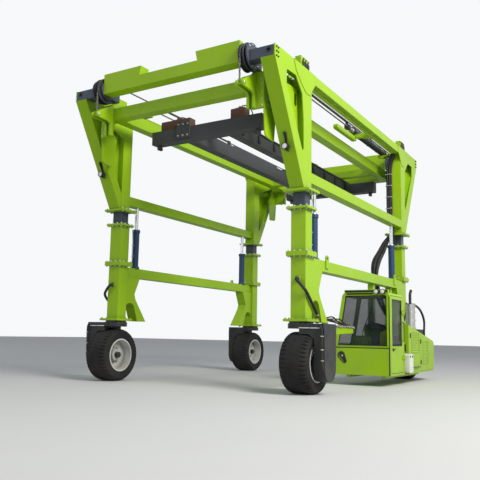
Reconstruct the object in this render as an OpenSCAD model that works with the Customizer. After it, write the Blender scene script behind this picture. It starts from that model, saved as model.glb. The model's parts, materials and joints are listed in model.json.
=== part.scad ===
// Straddle carrier: two wheeled side frames, a lifting upper frame and a chain hung spreader.
// X points forward, Y to the cab side, Z up; the origin is on the ground in the middle.

/* [Side frames] */
// Distance along the machine from its middle to each post's centre
post_x = 2630; // [2400:10:2900]
// Distance across from the middle to the outer face of the posts
frame_half_w = 2165; // [2100:5:2250]
// Width of a post across the machine
post_w = 270; // [240:5:290]
// Length of a post along the machine
post_l = 250; // [230:5:270]
// Wall of the posts and sleeves
post_wall = 12; // [8:1:15]
// Height of the bottom of the steering flange
base_flange_z = 1165; // [1150:5:1180]
// Side of the square steering flange
base_flange_w = 450; // [420:10:470]
// Thickness of the bolted flanges
flange_t = 40; // [25:1:45]
// Height of the bolted splice in the posts
splice_z = 2250; // [2230:5:2270]
// Side of the splice flanges along the machine
splice_l = 370; // [340:10:390]
// Side of the splice flanges across the machine
splice_w = 400; // [370:10:410]
// Height of the top of the outer sleeve
sleeve_top_z = 3050; // [2950:10:3100]
// Depth of the lower beam
low_beam_h = 190; // [160:5:200]
// Width of the lower beam across the machine
low_beam_w = 200; // [160:5:230]
// Height of the lower beam's top
low_beam_top = 2240; // [2220:5:2249]
// Width of the haunch behind each post
haunch_w = 230; // [180:5:250]
// Height where the haunch's arch ends at its top
arch_z = 1530; // [1450:10:1600]
// Radius of the bush that leads the hose out of each post
bush_r = 44; // [35:1:60]
// Height of the hose hole
hose_hole_z = 1870; // [1800:10:1900]
// Distance of the lifting eyes from the middle
eye_x = 1900; // [1700:10:1960]
// Radius of the hole in each lifting eye
eye_r = 28; // [20:1:32]

/* [Lifting frame] */
// Height of the underside of the upper frame's flange
top_flange_z = 3345; // [3330:5:3400]
// Side of that flange across the machine
top_flange_w = 480; // [440:10:490]
// Running clearance round the inner tube inside its sleeve
tube_gap = 12; // [8:1:16]
// Height of the bottom of the inner tube
tube_bottom_z = 2000; // [1950:10:2100]
// Height of the underside of the middle beam
mid_beam_z = 3520; // [3480:10:3560]
// Depth of the middle beam
mid_beam_h = 180; // [150:5:200]
// Height of the top of the upper frame
frame_top_z = 5500; // [5450:10:5550]
// Depth of the top beam
top_beam_h = 165; // [150:5:180]
// Width of the middle and top beams across the machine
up_beam_w = 200; // [160:5:220]
// Distance of the cut across the leaning legs' tops below the frame's top
leg_cut = 190; // [170:5:220]
// Distance from the middle to the front edge of a leg's top
leg_top_x = 3895; // [3860:5:3920]
// Depth of a leaning leg along the machine
leg_d = 210; // [180:5:230]
// Width of a leaning leg across the machine
leg_w = 245; // [220:5:260]
// Thickness of the outer side plates
plate_t = 20; // [12:1:25]
// Thickness of the webs and gussets
web_t = 15; // [10:1:20]
// Height of the lamps on the leaning legs
lamp_z = 4000; // [3900:10:4200]
// Radius of those lamps
lamp_r = 55; // [45:1:65]
// Reach of a lamp's bracket up the leg
lamp_arm = 240; // [200:10:260]
// Length of the box on each end of a top beam
top_box_l = 320; // [280:10:340]
// Height of that box
top_box_h = 190; // [150:5:210]
// Outer radius of a lift cylinder's barrel
lift_barrel_r = 72; // [60:1:80]
// Radius of a lift cylinder's rod
lift_rod_r = 40; // [30:1:45]
// Distance of a lift cylinder behind its post's centre
lift_back = 490; // [400:10:520]
// Travel of the lifting frame upwards
lift_up = 500; // [300:10:520]
// Travel of the lifting frame downwards
lift_down = 200; // [100:10:220]

/* [Crossbeams and sheaves] */
// Distance from the middle to the outer face of a crossbeam
cross_x = 3860; // [3840:5:3880]
// Depth of a crossbeam along the machine
cross_l = 220; // [180:5:240]
// Distance of a crossbeam's underside below its shaft
cross_drop = 100; // [85:5:115]
// Height of a crossbeam between its ears
cross_h = 210; // [190:5:240]
// Height of the raised ears
ear_h = 380; // [330:5:400]
// Distance of the ears' inner edge from the middle
ear_in = 600; // [500:10:800]
// Outer radius of a chain sheave
sheave_r = 240; // [220:5:245]
// Radius of the chain's path on the sheave
chain_r = 212; // [195:1:215]
// Width of a sheave
sheave_w = 92; // [80:1:96]
// Distance of each sheave inside the posts' outer faces
sheave_inset = 595; // [560:5:620]
// Radius of the cross shaft
shaft_r = 40; // [30:1:50]
// Distance of the cross shafts below the frame's top
shaft_drop = 60; // [50:1:70]
// Width of the leaf chain
chain_w = 30; // [24:1:32]
// Distance between the middles of the front and rear chains' lanes
lane_gap = 36; // [34:1:38]
// Radius of the roller that turns each rear chain back
idler_r = 42; // [36:1:44]
// Distance of those rollers ahead of the middle
idler_x = 2300; // [2200:10:2400]
// Thickness of the leaf chain
chain_t = 26; // [16:1:30]
// Outer radius of a hoist cylinder's barrel
hoist_barrel_r = 75; // [60:1:85]
// Radius of a hoist cylinder's rod
hoist_rod_r = 38; // [30:1:45]
// Travel of the spreader downwards
hoist_travel = 1900; // [1500:10:1950]

/* [Spreader] */
// Distance of the green head frame's underside below the cross shafts
head_hang = 510; // [490:5:560]
// Depth of the head frame's beams
head_h = 220; // [180:5:240]
// Distance from the middle to the outer face of the head beams
head_x = 3560; // [3500:5:3580]
// Width of the head frame's beams
head_w = 200; // [160:5:220]
// Distance of the head frame's side inside the sheaves' middle
head_inset = 10; // [5:1:20]
// Distance of the corner plates' outer edges inside the posts' outer faces
corner_inset = 375; // [370:5:400]
// Height of the corner plates below the head frame
corner_drop = 310; // [280:10:340]
// Height of the corner guides below the corner plates
guide_drop = 480; // [400:10:520]
// Places of the ties across the head frame
head_ties = [2000, -2700];
// Radius of the pins that hold the hoist chains
nose_pin_r = 22; // [18:1:26]
// Shift of the spreader along the machine
spreader_shift = -355; // [-380:5:-330]
// Distance between the twistlocks along the spreader
lock_l = 5853; // [5800:1:5900]
// Distance between the twistlocks across the spreader
lock_w = 2259; // [2200:1:2300]
// Depth of the spreader's end beams
spreader_h = 300; // [250:5:320]
// Width of the spreader's end beams along the machine
spreader_l = 220; // [180:5:240]

/* [Wheels and forks] */
// Outer radius of a tyre
tyre_r = 500; // [480:5:520]
// Width of a tyre
tyre_w = 500; // [460:5:510]
// Radius of the rim's seat for the tyre
rim_r = 315; // [300:5:330]
// Distance of a wheel's middle plane outside its steering axis
wheel_out = 70; // [60:5:75]
// Height of the top of a fork's plate
fork_top_z = 1130; // [1120:5:1135]
// Thickness of a fork's plate
fork_plate_t = 80; // [60:5:90]
// Thickness of a fork's leg across the machine
fork_leg_t = 185; // [150:5:190]
// Distance of a fork leg's outer face from the steering axis
fork_out = 522; // [515:1:530]
// Radius of the rounded foot of a fork's leg
fork_foot_r = 225; // [200:5:240]
// Radius of the slewing ring
slew_r = 200; // [170:5:215]
// Radius of the steering king pin
king_r = 60; // [50:1:70]
// Radius of the wheel's spindle
spindle_r = 55; // [45:1:65]

/* [Cab] */
// Distance of the cab's front face ahead of the middle
cab_front = 285; // [270:5:300]
// Length of the cab
cab_len = 885; // [860:5:900]
// Width of the cab at its roof
cab_w = 970; // [900:10:1000]
// Width of the cab at its foot
cab_foot_w = 1135; // [1000:5:1150]
// Radius of the cab's upper corners
cab_corner_r = 90; // [70:5:120]
// Distance of the cab's outer side outside the forks
cab_outset = 213; // [190:1:235]
// Height of the cab's underside
cab_z = 205; // [200:5:220]
// Height of the cab's roof
cab_top = 1800; // [1780:5:1810]
// Side of the cab's pillars
pillar = 60; // [50:1:70]
// Height of the bottom of the windscreen
screen_z = 745; // [730:5:760]
// Thickness of the cab's panels
panel_t = 30; // [20:1:35]
// Thickness of the glass
glass_t = 8; // [6:1:10]
// Width of the driver's seat
seat_w = 460; // [420:10:500]
// Height of the seat's cushion above the floor
seat_h = 390; // [350:10:420]
// Height of the seat's back
seat_back_h = 580; // [520:10:600]
// Height of the steering wheel above the cab's underside
wheel_h = 920; // [880:10:930]
// Length of the seat's cushion
cushion_l = 440; // [400:10:460]
// Thickness of that cushion
cushion_h = 100; // [80:5:120]
// Length of the seat's pedestal
pedestal_l = 250; // [200:10:300]
// Width of that pedestal
pedestal_w = 260; // [200:10:300]
// Distance of the driver's middle inside the cab's outer face
drive_inset = 360; // [340:5:380]
// Radius of the steering wheel
hand_r = 175; // [160:5:190]

/* [Engine side] */
// Distance of the hood's front behind the middle
hood_front = 905; // [900:5:920]
// Distance of the hood's rear wall behind the middle
hood_rear = 1970; // [1900:5:1975]
// Length of the outer fairing behind the hood's front
fairing_len = 1950; // [1800:10:2100]
// Height of the hood's front edge
hood_top = 1200; // [1150:10:1250]
// Height of the fairing's tail
tail_top = 860; // [800:10:900]
// Thickness of the hood's sheet
hood_t = 25; // [15:1:28]
// Height of the engine with its pumps
engine_h = 595; // [500:10:620]
// Width of the engine
engine_w = 600; // [500:10:640]
// Distance of the engine inside the hood's outer face
engine_out = 230; // [200:10:260]
// Distance of the engine behind the hood's front
engine_front = 120; // [80:10:200]
// Distance of the engine ahead of the hood's rear wall
engine_back = 190; // [150:10:260]
// Length of the step box behind the cab
step_l = 270; // [250:5:280]
// Width of the step box
step_w = 290; // [250:10:320]
// Height of the step box
step_h = 370; // [340:10:400]
// Height of the shield round the exhaust
shield_h = 520; // [450:10:560]
// Radius of the pipe above it
pipe_r = 30; // [25:1:36]
// Height of that pipe
pipe_h = 300; // [240:10:340]

/* [Hidden] */
$fn = 48;

lime = [0.62, 0.78, 0.13];
slate = [0.20, 0.25, 0.30];
navy = [0.12, 0.20, 0.34];
steel = [0.75, 0.76, 0.78];
grey = [0.45, 0.50, 0.55];
black = [0.08, 0.08, 0.09];
clear = [0.55, 0.70, 0.75, 0.4];

run_gap = 0.05;                      // radial clearance of a pin that turns or slides in its bore
seat_gap = 0.3;                      // distance between round faces that only sit together
post_y = frame_half_w - post_w / 2;  // centre of the posts
frame_in = frame_half_w - post_w;    // inner face of the posts
post_front = post_x + post_l / 2;
root = 2;                            // how far a welded piece reaches into its neighbour
bush_len = 30;
hose_r = 26;
bundle_r = 42;
leg_cut_z = frame_top_z - leg_cut;
shaft_z = frame_top_z - shaft_drop;
cross_z = shaft_z - cross_drop;
head_z = shaft_z - head_hang;
post_bottom = base_flange_z + flange_t;
sleeve_z = splice_z + 2 * flange_t;
low_beam_z = low_beam_top - low_beam_h;
lift_x = post_x - lift_back;
leg_bottom_z = top_flange_z + flange_t;
leg_foot_x = post_x + post_l / 2 + 70;
leg_slope = (leg_top_x - leg_foot_x) / (leg_cut_z - leg_bottom_z);
top_beam_z = frame_top_z - top_beam_h;
sheave_x = cross_x - cross_l / 2 - 15;
sheave_y = frame_half_w - sheave_inset;
cheek_t = 20;                        // plates on both sides of a sheave
sheave_side = sheave_w / 2 + 15;     // from a sheave's middle to those plates
cross_half = sheave_y - sheave_side - cheek_t;
head_half = sheave_y - head_inset;
cab_out = post_y + fork_out + cab_outset;
cab_in = cab_out - cab_w;
cab_foot = cab_out - cab_foot_w;
sill_z = screen_z + 20;
corner_y = frame_half_w - corner_inset;
drop_x = sheave_x + chain_r;
haul_z = shaft_z + chain_r;
wheel_z = tyre_r;
cab_rear = cab_front - cab_len;
spreader_z = head_z - spreader_h;
barrel_front = -900;                 // end of a hoist cylinder's barrel next to its rod
barrel_rear = barrel_front - hoist_travel - 250;
hoist_z = haul_z - 2 * idler_r - chain_t;
carriage_l = 120;
ends = [1, -1];

// A box between two corners
module block(x, y, z) {
  translate([x[0], y[0], z[0]]) cube([x[1] - x[0], y[1] - y[0], z[1] - z[0]]);
}

// A plate whose outline is drawn in X and Z, between two places across the machine
module side_plate(y, points) {
  translate([0, y[1], 0]) rotate([90, 0, 0]) linear_extrude(y[1] - y[0]) polygon(points);
}

// A plate whose outline is drawn in Y and Z, between two places along the machine
module cross_plate(x, points) {
  translate([x[0], 0, 0]) rotate([90, 0, 90]) linear_extrude(x[1] - x[0]) polygon(points);
}

// A round bar along Y
module bar_y(x, z, r, y) {
  translate([x, y[1], z]) rotate([90, 0, 0]) cylinder(r = r, h = y[1] - y[0]);
}

// A round bar along X
module bar_x(y, z, r, x) {
  translate([x[0], y, z]) rotate([0, 90, 0]) cylinder(r = r, h = x[1] - x[0]);
}

// Puts what is drawn for the front or rear, and for the left or right, in its place
module at_end(e) { if (e > 0) children(); else mirror([1, 0, 0]) children(); }
module at_side(s) { if (s > 0) children(); else mirror([0, 1, 0]) children(); }

// A square tube standing on Z, centred on a post
module tube(l, w, wall, z) {
  difference() {
    block([post_x - l / 2, post_x + l / 2], [post_y - w / 2, post_y + w / 2], z);
    block([post_x - l / 2 + wall, post_x + l / 2 - wall],
          [post_y - w / 2 + wall, post_y + w / 2 - wall], [z[0] - 1, z[1] + 1]);
  }
}

// Lower side frames

module haunch() {
  back = post_x - post_l / 2;
  foot = lift_x - 300;
  arch_r = 150;
  difference() {
    side_plate([frame_half_w - haunch_w, frame_half_w],
      [[back, low_beam_z], [lift_x - lift_barrel_r, low_beam_z], [post_x - 410, low_beam_z - 340],
       [post_x - 450, low_beam_z - 450], [foot, base_flange_z], [foot + 270, base_flange_z], [back, base_flange_z]]);
    side_plate([frame_half_w - haunch_w - 1, frame_half_w + 1],
      concat([[back, base_flange_z - 1], [back, base_flange_z + 75]],
             [for (a = [15:15:150]) [back - 155 + arch_r * cos(a), arch_z - arch_r + arch_r * sin(a)]],
             [[foot + 265, base_flange_z - 1]]));
  }
}

module lifting_eye() {
  difference() {
    union() {
      block([eye_x - 55, eye_x + 55], [frame_half_w, frame_half_w + 25], [low_beam_top - 130, low_beam_top + 50]);
      bar_y(eye_x, low_beam_top + 50, 55, [frame_half_w, frame_half_w + 25]);
    }
    bar_y(eye_x, low_beam_top + 50, eye_r, [frame_half_w - 1, frame_half_w + 26]);
  }
}

module base_flange() {
  difference() {
    block([post_x - base_flange_w / 2, post_x + base_flange_w / 2],
          [post_y - base_flange_w / 2, post_y + base_flange_w / 2], [base_flange_z, post_bottom]);
    translate([post_x, post_y, base_flange_z - 1]) cylinder(r = king_r + run_gap, h = flange_t + 2);
  }
}

module splice_flange(z) {
  tube(splice_l, splice_w, (splice_l - post_l) / 2 + post_wall, [z, z + flange_t]);
}

// Tray that leads the hoses from the front corner back to the cab
module hose_tray() {
  tip = cab_front + 275;
  foot = lift_x - 170;
  color(lime) side_plate([frame_half_w - 60, frame_half_w - 30],
    [[foot, base_flange_z + 20], [foot, base_flange_z - 215], [tip, base_flange_z - 165], [tip, base_flange_z - 65],
     [foot - 220, base_flange_z - 75], [foot - 120, base_flange_z + 20]]);
}

module side_frame() {
  color(lime) {
    for (e = ends) at_end(e) {
      difference() {
        union() {
          tube(post_l, post_w, post_wall, [post_bottom, splice_z]);
          bar_x(post_y, hose_hole_z, bush_r, [post_front - post_wall, post_front + bush_len]);
        }
        bar_x(post_y, hose_hole_z, hose_r + 3 * seat_gap, [post_front - post_wall - 1, post_front + bush_len + 1]);
      }
      base_flange();
      splice_flange(splice_z);
      haunch();
      lifting_eye();
    }
    block([-post_x + post_l / 2, post_x - post_l / 2], [frame_half_w - low_beam_w, frame_half_w],
          [low_beam_z, low_beam_top]);
  }
}

// What hangs the cab and the engine from the left lower beam
hanger_x = [(cab_rear - hood_front) / 2, -hood_rear + 90];
hanger_half = 60;
hanger_y = [frame_half_w - 190, frame_half_w - 70];
carrier_t = 50;
module cab_carrier() {
  color(lime) {
    for (x = hanger_x) {
      block([x - hanger_half, x + hanger_half], hanger_y, [cab_z - carrier_t, low_beam_z]);
      block([x - hanger_half, x + hanger_half], [cab_in + 60, cab_out - 120], [cab_z - carrier_t, cab_z]);
    }
    for (y = [cab_in + 60, cab_out - 200])
      block([-hood_rear, cab_front - 60], [y, y + 80], [cab_z - carrier_t, cab_z]);
  }
}

module sleeves() {
  color(lime) for (e = ends) at_end(e) {
    splice_flange(splice_z + flange_t);
    tube(post_l, post_w, post_wall, [sleeve_z, sleeve_top_z]);
    tube(splice_l, splice_w, (splice_l - post_l) / 2 + post_wall, [sleeve_top_z, sleeve_top_z + flange_t]);
  }
}

module lift_barrels() {
  color(navy) for (e = ends) at_end(e) translate([lift_x, post_y, low_beam_top]) difference() {
    union() {
      cylinder(r = lift_barrel_r + 25, h = 30);
      cylinder(r = lift_barrel_r, h = sleeve_top_z - low_beam_top);
      translate([0, 0, sleeve_top_z - low_beam_top - 60]) cylinder(r = lift_barrel_r + 12, h = 60);
    }
    translate([0, 0, 30]) cylinder(r = lift_rod_r + run_gap, h = sleeve_top_z);
  }
}

// Upper frame

function leg_x(z) = leg_top_x - (leg_cut_z - z) * leg_slope;

module leaning_leg() {
  side_plate([frame_half_w - plate_t - leg_w, frame_half_w - plate_t + root],
    [[leg_x(leg_bottom_z), leg_bottom_z], [leg_top_x, leg_cut_z], [leg_top_x - leg_d, leg_cut_z],
     [leg_x(leg_bottom_z) - leg_d, leg_bottom_z]]);
}

upright_front = post_x + 160;
upright_back = post_x - 100;

// Centres of the window's round corners, as [x, z]
window_r = 40;
window_low = mid_beam_z + 540;
window_h = top_beam_z - window_low;
window_points = [[leg_top_x - 455, top_beam_z - 145], [leg_top_x - 455, top_beam_z - 345],
  [post_x + 242, window_low], [post_x + 250, window_low + window_h * 20 / 51], [post_x + 305, top_beam_z - 355],
  [post_x + 530, top_beam_z - 135]];

// Outline of radius r round a ring of points that turn one way
function round_arc(p, i, r) = let (n = len(p), a = p[i] - p[(i + n - 1) % n], b = p[(i + 1) % n] - p[i],
  from = atan2(a[1], a[0]) + 90, turn = ((atan2(b[1], b[0]) + 90 - from) % 360 + 540) % 360 - 180)
  [for (k = [0:4]) p[i] + r * [cos(from + turn * k / 4), sin(from + turn * k / 4)]];
function rounded(p, r) = [for (i = [0:len(p) - 1]) each round_arc(p, i, r)];

// Outer plate over the leg and the upright, with the window between them
module outer_plate() {
  difference() {
    side_plate([frame_half_w - plate_t, frame_half_w],
      [[leg_x(leg_bottom_z), leg_bottom_z], [leg_top_x, leg_cut_z], [leg_top_x, frame_top_z],
       [upright_back, frame_top_z], [upright_back, leg_bottom_z]]);
    side_plate([frame_half_w - plate_t - 1, frame_half_w + 1], rounded(window_points, window_r));
  }
}

// Web in the middle between the leg and the upright, with its long slot
module middle_web() {
  web_top = top_beam_z - 255;
  slot_x = post_x + 275;
  difference() {
    side_plate([post_y - web_t / 2, post_y + web_t / 2],
      [[upright_front - root, leg_bottom_z + 300], [leg_x(web_top) - leg_d + 30, web_top],
       [upright_front - root, web_top + 40]]);
    side_plate([post_y - web_t, post_y + web_t],
      rounded([[slot_x, web_top - 90], [slot_x, web_top - 240]], 48));
  }
}

// Inner plate that closes the corner under the top beam
module corner_web() {
  side_plate([frame_in + root, frame_in + web_t + root],
    [[upright_front - root, top_beam_z - 520], [leg_x(top_beam_z - 220) - leg_d + 30, top_beam_z - 220],
     [leg_top_x - leg_d, leg_cut_z], [leg_top_x - leg_d, top_beam_z + root],
     [upright_front - root, top_beam_z + root]]);
}

module beam_gusset() {
  side_plate([frame_half_w - root, frame_half_w + web_t - 5],
    [for (p = [[600, top_beam_h], [515, -5], [325, -165], [135, -275], [-35, -280], [-85, -195], [-255, 0],
               [-255, top_beam_h]])
      [post_x + p[0], top_beam_z + p[1]]]);
}

module upper_side() {
  color(lime) {
    for (e = ends) at_end(e) {
      block([post_x - 220, post_x + 220], [post_y - top_flange_w / 2, post_y + top_flange_w / 2],
            [top_flange_z, leg_bottom_z]);
      leaning_leg();
      block([upright_back, upright_front], [frame_in, frame_half_w - plate_t + root],
            [leg_bottom_z - root, top_beam_z + root]);
      outer_plate();
      middle_web();
      corner_web();
      beam_gusset();
      block([upright_back + 70, upright_back + 70 + top_box_l], [frame_half_w - plate_t - 115, frame_half_w - plate_t],
            [frame_top_z - root, frame_top_z + top_box_h]);
    }
    block([-upright_back, upright_back], [frame_half_w - up_beam_w, frame_half_w],
          [mid_beam_z, mid_beam_z + mid_beam_h]);
    block([-leg_top_x + leg_d, leg_top_x - leg_d],
          [frame_half_w - up_beam_w, frame_half_w - plate_t + root], [top_beam_z, frame_top_z]);
    block([-upright_back, upright_back], [frame_half_w - up_beam_w, frame_half_w], [top_beam_z, frame_top_z]);
    // Bracket that carries the roller of the rear chain
    difference() {
      union() {
        block([idler_x - 60, idler_x + 60], [lane(-1)[1] + 10, lane(-1)[1] + 35],
              [frame_top_z - 100, hoist_z + idler_r + 70]);
        block([idler_x - 60, idler_x + 60], [lane(-1)[1] + 10, frame_half_w - up_beam_w + root],
              [frame_top_z - 100, frame_top_z - 60]);
      }
      bar_y(idler_x, hoist_z + idler_r + chain_t / 2, 18 + seat_gap, [lane(-1)[1], lane(-1)[1] + 60]);
    }
    for (x = [barrel_front - 120, barrel_rear + 120]) cylinder_bracket(x);
    tongue();
  }
}

// Bracket that carries the hoist cylinder inside the top beam
module cylinder_bracket(x) {
  seat_z = hoist_z - hoist_barrel_r;
  cross_plate([x - 40, x + 40], [[frame_half_w - up_beam_w + root, top_beam_z], [sheave_y - 90, seat_z - 55],
    [sheave_y - 90, seat_z - seat_gap], [sheave_y + 90, seat_z - seat_gap],
    [frame_half_w - up_beam_w + root, frame_top_z]]);
}

// Round nosed plate under the front of the hoist cylinder and its rod
module tongue() {
  side_plate([sheave_y - 45, sheave_y + 45],
    rounded([[barrel_front - 110, hoist_z - 185], [barrel_front - 110, hoist_z - 165],
             [barrel_front + 930, hoist_z - 165], [barrel_front + 930, hoist_z - 185]], 40));
}

module crossbeam() {
  low = cross_x - cross_l;
  color(lime) difference() {
    cross_plate([low, cross_x],
      [[-cross_half, cross_z], [cross_half, cross_z], [cross_half, cross_z + ear_h], [ear_in, cross_z + ear_h],
       [ear_in + 40, cross_z + cross_h], [-ear_in - 40, cross_z + cross_h], [-ear_in, cross_z + ear_h],
       [-cross_half, cross_z + ear_h]]);
    block([low + 15, cross_x - 15], [-cross_half + 20, cross_half - 20], [cross_z + 15, cross_z + cross_h - 15]);
    bar_y(sheave_x, shaft_z, shaft_r + run_gap, [-cross_half - 1, cross_half + 1]);
  }
}

// Grey arm from the crossbeam's end round the sheave to the top of the leaning leg
module sheave_bracket() {
  cheek_in = [sheave_y - sheave_side - cheek_t, sheave_y - sheave_side];
  cheek_out = [sheave_y + sheave_side, sheave_y + sheave_side + 30];
  hub = [cheek_out[1], cheek_out[1] + 25];
  yoke = [sheave_x - sheave_r - 80, sheave_x - sheave_r - 15];
  arm = [leg_top_x - leg_d, leg_top_x - 5];
  color(grey) difference() {
    union() {
      for (y = [cheek_in, cheek_out]) {
        bar_y(sheave_x, shaft_z, 170, y);
        block([yoke[0], sheave_x], y, [shaft_z - 130, shaft_z + 110]);
      }
      block(yoke, [cheek_in[0], cheek_out[1]], [shaft_z - 130, shaft_z + 110]);
      bar_y(sheave_x, shaft_z, 220, hub);
      side_plate([hub[1], frame_half_w - plate_t],
        [[arm[0], leg_cut_z], [arm[1], leg_cut_z], [arm[1], frame_top_z - 10], [arm[0], frame_top_z - 10]]);
    }
    bar_y(sheave_x, shaft_z, shaft_r + run_gap, [cheek_in[0] - 1, hub[1] + 35]);
    bar_x(frame_half_w - 115, shaft_z - 20, 32, [arm[1] - 75, arm[1] + 1]);
  }
}

module sheave_brackets() {
  for (e = ends) at_end(e) for (s = ends) at_side(s) sheave_bracket();
}

module inner_tubes() {
  l = post_l - 2 * post_wall - 2 * tube_gap;
  w = post_w - 2 * post_wall - 2 * tube_gap;
  color(slate) for (e = ends) at_end(e) for (s = ends) at_side(s)
    tube(l, w, post_wall, [tube_bottom_z, top_flange_z]);
}

module lift_rods() {
  color(steel) for (e = ends) at_end(e) for (s = ends) at_side(s)
    translate([lift_x, post_y, low_beam_top + 60 + lift_down])
      cylinder(r = lift_rod_r, h = mid_beam_z - low_beam_top - 60 - lift_down);
}

module hoist_barrel() {
  difference() {
    union() {
      bar_x(sheave_y, hoist_z, hoist_barrel_r, [barrel_rear, barrel_front]);
      bar_x(sheave_y, hoist_z, hoist_barrel_r + 12, [barrel_front - 70, barrel_front]);
      bar_x(sheave_y, hoist_z, hoist_barrel_r + 12, [barrel_rear, barrel_rear + 50]);
    }
    bar_x(sheave_y, hoist_z, hoist_rod_r + run_gap, [barrel_rear + 50, barrel_front + 1]);
  }
}

module hoist_barrels() {
  color(slate) for (s = ends) at_side(s) {
    hoist_barrel();
    bar_y(idler_x, hoist_z + idler_r + chain_t / 2, idler_r - seat_gap, [lane(-1)[0] - 4, lane(-1)[1] + 4]);
    bar_y(idler_x, hoist_z + idler_r + chain_t / 2, 18, [lane(-1)[0] - 4, lane(-1)[1] + 50]);
  }
}

module hoist_rod() {
  x = [barrel_front + 200, barrel_front + 200 + carriage_l];
  color(steel) bar_x(sheave_y, hoist_z, hoist_rod_r, [barrel_rear + 80, x[0] + 1]);
  color(slate) {
    block(x, [sheave_y - 60, sheave_y + 60], [hoist_z - 55, hoist_z + 45]);
    block(x, lane(1), [hoist_z, haul_z + 25]);
  }
}

// Sides of the front (1) or rear (-1) chain's lane
function lane(e) = [sheave_y - e * lane_gap / 2 - chain_w / 2, sheave_y - e * lane_gap / 2 + chain_w / 2];

module chain_run(e, x_end) {
  at_end(e) {
    difference() {
      block([drop_x - chain_t / 2, drop_x + chain_t / 2], lane(e), [head_z + nose_pin_r + 25, shaft_z]);
      bar_y(drop_x, head_z, nose_pin_r, lane(e));
    }
    difference() {
      bar_y(drop_x, head_z, nose_pin_r + 28, lane(e));
      bar_y(drop_x, head_z, nose_pin_r + seat_gap, [lane(e)[0] - 1, lane(e)[1] + 1]);
    }
    translate([sheave_x, lane(e)[1], shaft_z]) rotate([90, 0, 0])
      rotate_extrude(angle = 90) translate([chain_r - chain_t / 2, 0]) square([chain_t, chain_w]);
    block([x_end, sheave_x], lane(e), [haul_z - chain_t / 2, haul_z + chain_t / 2]);
  }
}

// The rear chain's turn round its roller and its way back to the rod
module chain_return() {
  translate([idler_x, lane(-1)[1], hoist_z + idler_r + chain_t / 2]) rotate([90, 0, 0]) rotate([0, 0, -90])
    rotate_extrude(angle = 180) translate([idler_r, 0]) square([chain_t, chain_w]);
  block([barrel_front + 200 + carriage_l + seat_gap, idler_x], lane(-1), [hoist_z - chain_t / 2, hoist_z + chain_t / 2]);
}

module hoist_chains() {
  color(steel) for (s = ends) at_side(s) {
    chain_run(1, barrel_front + 200 + carriage_l + seat_gap);
    chain_run(-1, -idler_x);
    chain_return();
  }
}

module sheaves() {
  color(slate) {
    bar_y(sheave_x, shaft_z, shaft_r, [-sheave_y - sheave_side - 70, sheave_y + sheave_side + 70]);
    for (s = ends) at_side(s) translate([sheave_x, sheave_y + sheave_w / 2, shaft_z]) rotate([90, 0, 0])
      rotate_extrude() polygon([[shaft_r - 5, 0], [sheave_r, 0], [sheave_r, 8],
        [chain_r - chain_t / 2 - seat_gap, 12], [chain_r - chain_t / 2 - seat_gap, sheave_w - 12],
        [sheave_r, sheave_w - 8], [sheave_r, sheave_w], [shaft_r - 5, sheave_w]]);
  }
}

module leg_lamp() {
  z = lamp_z;
  x = leg_x(z + lamp_r) + 5;
  color(black) {
    bar_x(post_y, z, lamp_r, [x, x + 70]);
    side_plate([post_y - 10, post_y + 10], [[leg_x(z - 60), z - 60], [x + 20, z - 60], [x + 20, z + 60],
      [leg_x(z + lamp_arm - 20) + 40, z + lamp_arm - 20], [leg_x(z + lamp_arm), z + lamp_arm]]);
  }
  color(steel) bar_x(post_y, z, lamp_r - 10, [x + 70, x + 78]);
}

module leg_lamps() {
  for (e = ends) at_end(e) for (s = ends) at_side(s) leg_lamp();
}

// Spreader

// Two plates round the end of a pair of hoist chains, on the plate across the corner
module head_corner() {
  nose_t = 40;
  nose_r = 45;
  cheek = (lane_gap + chain_w) / 2 + seat_gap;
  foot_z = head_z - corner_drop;
  for (y = [sheave_y - cheek - nose_t, sheave_y + cheek])
    side_plate([y, y + nose_t], concat([[head_x - 20, head_z + head_h + 80], [head_x - 20, foot_z], [head_x + 70, foot_z],
      [head_x + 70, head_z - 80], [head_x + 130, head_z - 55]],
      [for (a = [-75:15:0]) [drop_x + nose_r * cos(a), head_z + nose_r * sin(a)]],
      [for (a = [0:15:75]) [drop_x + nose_r * cos(a), head_z + 15 + nose_r * sin(a)]],
      [[head_x + 215, head_z + 175], [head_x + 90, head_z + 240]]));
  cross_plate([head_x - 60, head_x], [[head_half - 80, head_z], [head_half - 10, foot_z], [corner_y, foot_z],
    [corner_y, head_z + head_h + 90], [head_half - 10, head_z + head_h + 90], [head_half - 80, head_z + head_h]]);
  block([head_x - head_w - 40, head_x - 60 + root], [head_half - root, corner_y], [head_z + 20, head_z + head_h + 60]);
  bar_y(drop_x, head_z, nose_pin_r, [sheave_y - cheek - nose_t - 8, sheave_y + cheek + nose_t + 8]);
}

// Plate outside the load's corner that leads the spreader down onto it
module corner_guide() {
  side_plate([corner_y - 20, corner_y],
    [for (p = [[-20, 60], [-20, -60], [-55, 40 - guide_drop], [-120, -guide_drop], [-360, -guide_drop - 20],
               [-430, 60], [-200, 360], [-50, 360]])
      [head_x + p[0], head_z - corner_drop + p[1]]]);
}

module head_frame() {
  color(lime) {
    for (e = ends) at_end(e) {
      block([head_x - head_w, head_x], [-head_half, head_half], [head_z, head_z + head_h]);
      for (s = ends) at_side(s) {
        head_corner();
        corner_guide();
      }
    }
    for (s = ends) at_side(s)
      block([-head_x + head_w - root, head_x - head_w + root], [head_half - head_w, head_half],
            [head_z, head_z + head_h]);
    for (x = head_ties)
      block([x - head_w * 0.45, x + head_w * 0.45], [-head_half + head_w - root, head_half - head_w + root],
            [head_z, head_z + head_h - 60]);
  }
}

// Housings of the twistlock drives on an end beam, as [from, to] across the machine
lock_boxes = [[-1040, -350], [580, 880]];
box_l = 180;
box_h = 180;
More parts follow.
